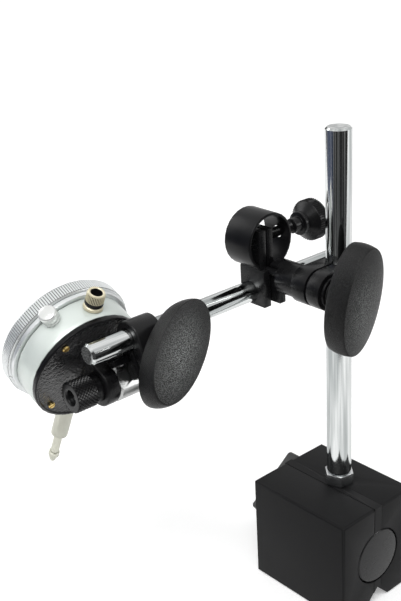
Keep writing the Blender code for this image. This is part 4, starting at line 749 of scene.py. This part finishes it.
def wingKnob(node, matrix, start, grain):
    s = knobSettings
    back = start + s["hubLength"]
    wall = s["thickness"] - s["crown"]
    front = back + wall

    def hubRing(radius, along):
        return roundRing(radius, along, s["points"])

    def oval(share, along):
        ring = []
        for i in range(s["points"]):
            angle = fullTurn * i / s["points"]
            c, d = math.cos(angle), math.sin(angle)
            a = math.copysign(abs(c) ** (2 / s["power"]), c) * s["width"] / 2 * share
            b = math.copysign(abs(d) ** (2 / s["power"]), d) * s["length"] / 2 * share
            ring.append((a, b, along))
        return ring

    def wallShare(t):
        if t < s["widestAt"]:
            return 1 - (1 - s["backShare"]) * (1 - t / s["widestAt"]) ** 2
        return 1 - (1 - s["frontShare"]) * ((t - s["widestAt"]) / (1 - s["widestAt"])) ** 2

    def domeRing(q):
        return oval(s["frontShare"] * q, front + s["crown"] * (1 - q * q))

    rings = [
        [(0, 0, start + s["boltDepth"])],
        hubRing(s["bolt"], start + s["boltDepth"]),
        hubRing(s["bolt"], start + s["boltEdge"]),
        hubRing(s["bolt"] + s["boltEdge"], start),
        hubRing(s["hub"] - s["hubEdge"], start),
        hubRing(s["hub"], start + s["hubEdge"]),
        hubRing(s["hub"], back - s["hubFoot"]),
        hubRing(s["hub"] + s["hubFoot"], back),
        oval(s["backShare"] - s["backTuck"][0], back),
        oval(s["backShare"] - s["backTuck"][1], back + s["edge"] * 0.3),
    ]
    first = s["edge"] / wall
    for step in range(s["wallSteps"] + 1):
        t = first + (1 - 2 * first) * step / s["wallSteps"]
        rings.append(oval(wallShare(t), back + t * wall))
    for tuck, rise in zip(s["frontTuck"], (-0.25, 0.2)):  # the soft ridge
        rings.append(oval(s["frontShare"] - tuck, front + s["edge"] * rise))
    for step in range(s["faceSteps"]):
        rings.append(domeRing(s["faceShare"] * (1 - step / s["faceSteps"])))
    rings.append([(0, 0, back + s["thickness"])])
    bm = skin(rings, "X")
    for face in bm.faces:  # the crowned face has the coarse grain
        face.material_index = 0 if face.calc_center_median().x > front + s["edge"] * 0.3 else 1
    return finishPiece(
        node + "_piece", bm, matrix, grain, node, (node,), "black_plastic", 38.0, extra=("wall",)
    )


wingKnob("column_knob", columnKnobPlace, layout["columnKnobStart"], "columnGrain")
wingKnob("end_knob", endKnobPlace, layout["endKnobStart"], "endGrain")
print("adjusting screw and wing knobs done")

# the lug nut with its diamond knurl
nutSettings = {
    "bore": 0.00325, "radius": 0.00680, "from": -0.0201, "length": 0.0132, "collar": 0.0024,
    "collarDrop": 0.0002, "edge": 0.0006, "ease": 0.00015, "across": 27, "rows": 12, "depth": 0.00052,
    "sunk": 0.00005,
}


def lugNut():
    s = nutSettings
    low = s["from"] - s["length"]
    knurlFrom, knurlTop = low + s["edge"], s["from"] - s["collar"]
    collar = s["radius"] - s["collarDrop"]
    profile = roundedProfile(
        [
            (s["bore"], s["from"]), (s["bore"], low + s["edge"]), (s["bore"] + s["edge"], low),
            (s["radius"] - s["edge"], low), (s["radius"], knurlFrom), (s["radius"], knurlTop),
            (collar, knurlTop + 0.0003), (collar, s["from"]), (s["bore"], s["from"]),
        ],
        s["ease"],
    )
    step = (knurlTop - knurlFrom - s["collarDrop"]) / s["rows"]
    stud = studItem("nutStud", fullTurn * s["radius"] / s["across"], step * 2, s["depth"])
    return repeatRound(
        "lug_nut_piece", stud,
        {"Count": s["across"], "Rows": s["rows"], "Radius": s["radius"] - s["sunk"], "Row Step": step,
         "Row Turn": 0.5},
        moved(barrelPlace, 0, knurlFrom, 0) @ turns["Y"], "darkSteel", "lug_nut",
        joinTo=shifted(lathe(profile[:-1], 92, closed=True), -knurlFrom), stands=("lug_nut",),
        slot="black_steel", sharp=20.0,
    )


lugNut()
print("lug nut done")

# dial housing
coverSettings = {"hammered": 0.0264, "lugFrom": -0.0001, "bevel": 0.00025}
intoDial = dialPlace.inverted()


def smoothOnCover(point):
    # the raised rim and the lug are smooth, the rest is hammered
    spot = intoDial @ point
    return spot.z < coverSettings["lugFrom"] or math.hypot(spot.x, spot.y) > coverSettings["hammered"]


refined("back_cover", "cover", coverSettings["bevel"], other=("turned", smoothOnCover))
refinedRows((
    ("dial_case", "case", 0.0002),
    ("stem", "paleNickel", 0.0),
    ("cap_bush", "nickel", 0.0),
    ("spindle contact_point", "paleNickel", 0.0),
    ("bezel_clip", "button", 0.0),
    ("front_plate rear_plate guide_rail rack_arbor counter_arbor centre_arbor", "brass", 0.0),
    ("guide_pin", "spring", 0.0),
    ("main_pointer counter_pointer", "pointer", 0.0),
    ("scale_ring inner_dial", "face", 0.0),
))
refined("crystal", "glass", sharp=50.0)

# four slotted brass screws, each turned as it stopped
coverScrewSettings = {
    "radius": 0.0016, "height": 0.0009, "shank": 0.0008, "length": 0.0058, "slot": 0.00056,
    "circle": 0.02380, "start": 45.0, "looseTurn": 2.6, "seed": 7, "seat": 0.0005, "sunk": -0.0003,
    "floor": 0.15, "floorShare": 0.99, "lift": 0.00001, "steps": 16,
    "layers": ((1.0, 0.0), (1.0, 0.55), (0.80, 1.0)),  # shares of the head's radius and height
}


def coverScrewItem():
    s = coverScrewSettings
    half, floor = s["slot"] / 2, s["sunk"] - s["height"] * s["floor"]
    disc, under = s["radius"] * s["floorShare"], s["sunk"] + s["lift"]
    bm = lathe(
        [(0, floor), (disc, floor), (disc, under), (s["shank"], under), (s["shank"], s["length"]),
         (0, s["length"])],
        32,
    )
    edge = math.asin(half / s["radius"])
    angles = [edge + (math.pi - 2 * edge) * i / s["steps"] for i in range(s["steps"] + 1)]
    for sign in (-1, 1):  # the head's two halves beside the slot
        layers = []
        for share, lift in s["layers"]:
            radius, along = s["radius"] * share, s["sunk"] - s["height"] * lift
            spots = [(radius * math.cos(a), sign * max(half, radius * math.sin(a)), along) for a in angles]
            layers.append([bm.verts.new(spot) for spot in spots])
        for low, high in zip(layers, layers[1:]):
            for i in range(s["steps"]):
                bm.faces.new((low[i], low[i + 1], high[i + 1], high[i]))
            bm.faces.new((low[-1], low[0], high[0], high[-1]))
        bm.faces.new(layers[0])
        bm.faces.new(layers[-1])
    return itemFrom(bm, "coverScrew")


repeatRound(
    "cover_screws_piece", coverScrewItem(),
    {"Count": 4, "Radius": coverScrewSettings["circle"], "Start": math.radians(coverScrewSettings["start"]),
     "Loose Turn": coverScrewSettings["looseTurn"], "Seed": coverScrewSettings["seed"]},
    moved(dialPlace, 0, 0, coverScrewSettings["seat"]), "brass", "dial",
    stands=("cover_screw_1", "cover_screw_2", "cover_screw_3", "cover_screw_4"), slot="brass",
)

# the bezel screw's domed head
buttonSettings = {
    "shankFrom": 0.02541, "shank": 0.0015, "seat": 0.03035, "radius": 0.0041, "height": 0.0045,
    "foot": 0.0003, "edge": 0.0012, "edgeSteps": 8, "dome": 0.00025, "domeSteps": 5,
}


def bezelScrew():
    s = buttonSettings
    top = s["seat"] + s["height"]
    flat = s["radius"] - s["edge"]
    profile = [(0, s["shankFrom"]), (s["shank"], s["shankFrom"]), (s["shank"], s["seat"])]
    profile += [(s["radius"] - s["foot"], s["seat"]), (s["radius"], s["seat"] + s["foot"])]
    for step in range(s["edgeSteps"] + 1):  # rounded edge
        angle = math.pi / 2 * step / s["edgeSteps"]
        profile.append(
            (flat + s["edge"] * math.cos(angle), top - s["dome"] - s["edge"] * (1 - math.sin(angle)))
        )
    for step in range(1, s["domeSteps"]):
        share = 1 - step / s["domeSteps"]
        profile.append((flat * share, top - s["dome"] * share**2))
    profile.append((0, top))
    return finishPiece(
        "bezel_screw_piece", lathe(profile, 64, "X"), lockPlace, "button", "bezel_screw", ("bezel_screw",),
        "chrome", 50.0,
    )


bezelScrew()

# the turning bezel with its fine rim; radii first, then places along the axis
bezelSettings = {
    "neck": 0.02747, "lip": 0.03010, "recess": 0.0296, "rim": 0.03102, "mouth": 0.02603, "seat": 0.02737,
    "shelf": 0.02614, "ledge": 0.02470, "from": 0.0155, "neckTo": 0.0170, "lipEnd": 0.0176,
    "gripFrom": 0.0184, "ledgeFrom": 0.0192, "ledgeTo": 0.0200, "shelfTo": 0.0230, "gripTo": 0.0240,
    "seatTo": 0.0248, "end": 0.0254, "ease": 0.00018, "ridges": 168, "ridge": 0.00024, "baseShare": 0.74,
    "topShare": 0.58, "sunk": 0.00002,
}


def bezelPiece():
    s = bezelSettings
    profile = roundedProfile(
        [
            (s["neck"], s["neckTo"]), (s["neck"], s["from"]), (s["lip"], s["from"]),
            (s["lip"], s["lipEnd"]), (s["recess"], s["lipEnd"] + 0.0001),
            (s["recess"], s["gripFrom"] - 0.0004), (s["rim"] - 0.0002, s["gripFrom"] - 0.0002),
            (s["rim"], s["gripFrom"] + 0.0001), (s["rim"], s["gripTo"]),
            (s["rim"] - 0.0002, s["gripTo"] + 0.0003), (s["rim"] - 0.0006, s["end"] - 0.0004),
            (s["rim"] - 0.0013, s["end"]), (s["mouth"] + 0.0008, s["end"]),
            (s["mouth"], s["end"] - 0.0003), (s["mouth"], s["seatTo"]), (s["seat"], s["seatTo"]),
            (s["seat"], s["shelfTo"]), (s["shelf"], s["shelfTo"]), (s["shelf"], s["ledgeTo"]),
            (s["ledge"], s["ledgeTo"]), (s["ledge"], s["ledgeFrom"]), (s["neck"], s["ledgeFrom"]),
            (s["neck"], s["neckTo"]),
        ],
        s["ease"],
    )
    body = lathe(profile[:-1], s["ridges"], closed=True)
    for face in body.faces:  # painted shade: the floor between the ridges and the recess below them take a dark finish, where shade falls
        spot = face.calc_center_median()
        radius = math.hypot(spot.x, spot.y)
        inGrip = s["gripFrom"] < spot.z < s["gripTo"] and radius > s["lip"]
        inRecess = s["lipEnd"] < spot.z < s["gripFrom"] - 0.0003 and abs(radius - s["recess"]) < 0.0002
        face.material_index = 1 if inGrip or inRecess else 0
    middle = (s["gripFrom"] + s["gripTo"]) / 2
    pitch = fullTurn * s["rim"] / s["ridges"]
    ridge = ridgeItem(
        "bezelRidge", s["gripTo"] - s["gripFrom"] - 0.0003, pitch * s["baseShare"], pitch * s["topShare"],
        s["ridge"],
    )
    return repeatRound(
        "bezel_piece", ridge, {"Count": s["ridges"], "Radius": s["rim"] - s["sunk"]},
        moved(dialPlace, 0, 0, middle), "bezel", "bezel", joinTo=shifted(body, -middle), stands=("bezel",),
        slot="bezel_metal", extra=("groove",),
    )


bezelPiece()

# the spindle's cap: hollow top, a band of fine ridges and a black ring
capSettings = {
    "radius": 0.0042, "bore": 0.0026, "low": 0.00225, "from": 0.0305, "height": 0.0064, "ring": 0.0016,
    "lowFrom": 0.0321, "hollow": 0.0324, "band": 0.0009, "ease": 0.00015, "ridges": 34, "ridge": 0.00034,
    "baseShare": 0.62, "topShare": 0.34, "sunk": 0.00002,
}


def capPiece():
    s = capSettings
    top = s["from"] + s["height"]
    ringTo, bandFrom, bandTo = s["from"] + s["ring"], s["from"] + s["ring"] + 0.0003, top - s["band"]
    wall = s["radius"] - s["ridge"]
    profile = roundedProfile(
        [
            (s["low"], s["from"]), (s["radius"], s["from"]), (s["radius"], ringTo - 0.0002),
            (wall - 0.0003, ringTo), (wall, bandFrom), (wall, bandTo),
            (s["radius"] - 0.0002, bandTo + 0.0001), (s["radius"] - 0.0005, top),
            (s["bore"] + 0.0004, top), (s["bore"], top - 0.0004), (s["bore"], s["hollow"] + 0.0003),
            (s["low"], s["lowFrom"] + 0.0003), (s["low"], s["from"]),
        ],
        s["ease"],
    )
    body = lathe(profile[:-1], 80, closed=True)
    for face in body.faces:  # black: the ring; painted shade: the floor between the ridges and the hollow
        middle = face.calc_center_median()
        across = math.hypot(middle.x, middle.y)
        inRing = middle.z < ringTo - 0.0001
        inBand = bandFrom < middle.z < bandTo and across > s["bore"] + 0.0005
        inHollow = across < s["bore"] + 0.0002 and middle.z < top - 0.0003
        face.material_index = 1 if inRing or inBand or inHollow else 0
    length = bandTo - bandFrom - 0.0001
    centre = bandFrom + length / 2
    pitch = fullTurn * wall / s["ridges"]
    ridge = ridgeItem("capRidge", length, pitch * s["baseShare"], pitch * s["topShare"], s["ridge"])
    return repeatRound(
        "spindle_cap_piece", ridge, {"Count": s["ridges"], "Radius": wall - s["sunk"]},
        moved(spindlePlace, 0, centre, 0) @ turns["Y"], "nickel", "spindle",
        joinTo=shifted(body, -centre), stands=("spindle_cap",), slot="nickel", sharp=25.0,
        # the second finish is the black ring and the painted shade in the ridge floors and hollow
        extra=("plastic",),
    )


capPiece()
print("dial housing done")

# dial markings: each ring of ticks has a count, a length and a width
markSettings = {
    "thick": 0.00004, "scaleLevel": 0.02070, "scaleOuter": 0.0250, "scaleNumbers": (0.0199, 0.0027),
    "scaleRings": {
        "scale_ticks": (100, 0.0018, 0.00013), "scale_fives": (20, 0.0026, 0.00024),
        "scale_tens": (10, 0.0034, 0.00036),
    },
    "counterLevel": 0.02040, "counterCentre": (0.0040, -0.01059), "counterOuter": 0.0056,
    "counterRing": (10, 0.0009, 0.00018), "counterNumbers": (0.0040, 0.0012),
}


def markPlace(centre, level):
    return moved(dialPlace, centre[0], centre[1], level + markSettings["thick"] / 2)


def tickRing(name, ring, outer, level, body, centre=(0.0, 0.0)):
    count, length, width = ring
    return repeatRound(
        name, barItem(name + "Item", length, width, markSettings["thick"]),
        {"Count": count, "Radius": outer - length / 2, "Start": math.pi / 2},
        markPlace(centre, level), "ink", body, sharp=60.0,
    )


def numberPiece(name, texts, sizes, level, body, finish="ink", centre=(0.0, 0.0)):
    # sizes are the circle of the numbers and their height
    circle, size = sizes
    bm = bmesh.new()
    for label, degrees in texts:
        words = bpy.data.curves.new(name, "FONT")
        words.body, words.size = label, size
        words.align_x = words.align_y = "CENTER"
        words.extrude = markSettings["thick"] / 2
        holder = bpy.data.objects.new(name, words)
        bpy.context.scene.collection.objects.link(holder)
        bpy.context.view_layer.update()
        seen = holder.evaluated_get(bpy.context.evaluated_depsgraph_get())
        flat = bpy.data.meshes.new_from_object(seen)
        angle = math.radians(90 - degrees)
        flat.transform(Matrix.Translation((circle * math.cos(angle), circle * math.sin(angle), 0)))
        bm.from_mesh(flat)
        bpy.data.objects.remove(holder)
    return finishPiece(name, bm, markPlace(centre, level), finish, body, sharp=60.0)


def dialMarks():
    s = markSettings
    for name, ring in s["scaleRings"].items():
        tickRing(name, ring, s["scaleOuter"], s["scaleLevel"], "bezel")
    tens = [(str(10 * i), 36 * i) for i in range(10)]
    numberPiece("scale_numbers", tens, s["scaleNumbers"], s["scaleLevel"], "bezel")
    centre = s["counterCentre"]
    tickRing("counter_ticks", s["counterRing"], s["counterOuter"], s["counterLevel"], "dial", centre)
    units = [(str(i), -36 * i) for i in range(10)]
    numberPiece("counter_numbers", units, s["counterNumbers"], s["counterLevel"], "dial", "redInk", centre)


dialMarks()
print("dial markings done")

# floor, light, camera
cameraSettings = {
    "spot": (0.32778, -0.28531, 0.34326), "yaw": 50.15, "pitch": 22.93, "roll": -3.32, "lens": 62.306,
    "sensor": 36.0, "nearest": 0.01,
}
yaw, pitch, roll = (math.radians(cameraSettings[key]) for key in ("yaw", "pitch", "roll"))
cameraSide = Vector((math.sin(yaw), -math.cos(yaw), 0))
screenRight = Vector((math.cos(yaw), math.sin(yaw), 0))
floorSettings = {
    "near": 0.26, "left": 0.62, "right": 1.6, "far": 4.0, "paint": 0.84, "glow": (0.30, 0.66),
    "spread": 1.6,
}


def lookedAt(graph, tree):
    # above 0 where it is seen straight, in metal or through glass
    path = tree.nodes.new("ShaderNodeLightPath")
    kinds = ("Is Camera Ray", "Is Glossy Ray", "Is Transmission Ray")
    return [Value(graph, path.outputs[kind]) for kind in kinds]


def studioFloor():
    s = floorSettings
    mesh = bpy.data.meshes.new("floor")
    middle = Vector((*layout["column"], 0))
    corners = [
        tuple(middle + cameraSide * along + screenRight * across)
        for along, across in (
            (s["near"], -s["left"]), (s["near"], s["right"]),
            (-s["far"], s["right"]), (-s["far"], -s["left"]),
        )
    ]
    mesh.from_pydata(corners, [], [(0, 1, 2, 3)])
    floor = bpy.data.objects.new("floor", mesh)
    bpy.context.scene.collection.objects.link(floor)
    made = Finish(
        "paleFloor", Roughness=0.9, Base_Color=grey(s["paint"]), Specular_IOR_Level=0.0,
        Emission_Strength=1.0,
    )
    camera, glossy, through = lookedAt(made, made.tree)
    away = made.add("ShaderNodeVectorMath", {"operation": "LENGTH"}, {0: made.place}, "Value")
    near, wide = s["glow"]
    level = made.mixColour((away / s["spread"]).calc("MINIMUM", 1.0), grey(near), grey(wide))
    made.drive(Emission_Color=made.mixColour(camera + glossy + through, grey(0.0), level))
    mesh.materials.append(made.material)


studioFloor()

lampSettings = {  # each lamp's spot, target, size and power
    "keyLamp": ((0.35, -0.55, 0.95), (0.0, 0.0, 0.12), (0.7, 0.5), 7.5),
    "sideLamp": ((-0.85, -0.25, 0.55), (0.0, 0.0, 0.12), (0.5, 0.8), 3.0),
    "sheenLamp": ((0.90, 0.72, 0.42), (0.0, -0.03, 0.14), (0.34, 0.34), 3.0),
}


def softLamp(name, spot, target, size, power):
    lamp = bpy.data.lights.new(name, "AREA")
    lamp.shape = "RECTANGLE"
    lamp.size, lamp.size_y = size
    lamp.energy = power
    holder = bpy.data.objects.new(name, lamp)
    bpy.context.scene.collection.objects.link(holder)
    facing = (Vector(target) - Vector(spot)).to_track_quat("-Z", "Y").to_matrix().to_4x4()
    holder.matrix_world = Matrix.Translation(spot) @ facing


for name, settings in lampSettings.items():
    softLamp(name, *settings)

# what the metal reflects: stops over the share of a direction that points up, back or left
roomSettings = {
    "ambient": 0.48,
    "ceiling": ((0.0, 0.03), (0.50, 0.03), (0.66, 0.05), (0.73, 0.90), (1.0, 1.0)),
    "behind": ((0.0, 0.0), (0.86, 0.0), (0.92, 0.6), (1.0, 0.8)),
    "streaks": ((0.0, 0.0), (0.48, 0.0), (0.58, 0.20), (0.64, 0.02), (1.0, 0.10)),
    "blue": ((0.0, 0.0), (0.86, 0.0), (0.95, (0.02, 0.035, 0.08)), (1.0, (0.03, 0.05, 0.12))),
    "standing": (1.0, 1.0, 0.15), "noise": {"Scale": 5.0, "Detail": 3.0, "Roughness": 0.6},
}


def studioWorld():
    # a dim room with a bright ceiling in the metal, white behind the object, even light elsewhere
    s = roomSettings
    world = bpy.data.worlds.new("studio")
    bpy.context.scene.world = world
    world.use_nodes = True
    world.node_tree.nodes.clear()
    sky = Graph(world.node_tree)
    direction = sky.add("ShaderNodeTexCoord", output="Generated")

    def towards(axis, stops):
        return sky.ramp(sky.dot(direction, axis) * 0.5 + 0.5, *stops)

    ceiling = towards((0, 0, 1), s["ceiling"])
    behind = towards((screenRight * 0.6 - cameraSide).normalized(), s["behind"])
    blue = towards(-screenRight, s["blue"])
    flat = sky.add("ShaderNodeVectorMath", {"operation": "MULTIPLY"}, {0: direction, 1: s["standing"]})
    streaks = sky.ramp(sky.add("ShaderNodeTexNoise", None, {"Vector": flat, **s["noise"]}), *s["streaks"])
    bright = sky.mixColour(1.0, ceiling, behind, "SCREEN")
    room = sky.mixColour(1.0, bright, sky.mixColour(1.0, streaks, blue, "ADD"), "ADD")
    camera, glossy, through = lookedAt(sky, world.node_tree)
    light = sky.mixColour(glossy, grey(s["ambient"]), room)
    background = sky.add(
        "ShaderNodeBackground", None,
        {"Color": sky.mixColour(camera + through, light, grey(1.0)), "Strength": 1.0},
    )
    leave = world.node_tree.nodes.new("ShaderNodeOutputWorld")
    world.node_tree.links.new(background.socket, leave.inputs[0])


studioWorld()


def photoCamera():
    s = cameraSettings
    ahead = Vector((-math.sin(yaw) * math.cos(pitch), math.cos(yaw) * math.cos(pitch), -math.sin(pitch)))
    up = screenRight.cross(ahead)
    lens = bpy.data.cameras.new("photoCamera")
    lens.sensor_fit = "VERTICAL"
    lens.sensor_height = s["sensor"]
    lens.lens = s["lens"]
    lens.clip_start = s["nearest"]
    holder = bpy.data.objects.new("photoCamera", lens)
    bpy.context.scene.collection.objects.link(holder)
    rolledRight = screenRight * math.cos(roll) + up * math.sin(roll)
    rolledUp = up * math.cos(roll) - screenRight * math.sin(roll)
    holder.matrix_world = frameOf(Vector(s["spot"]), rolledRight, rolledUp, -ahead)
    bpy.context.scene.camera = holder


photoCamera()
bpy.context.scene.view_settings.view_transform = "Standard"
print("floor, light and camera done")
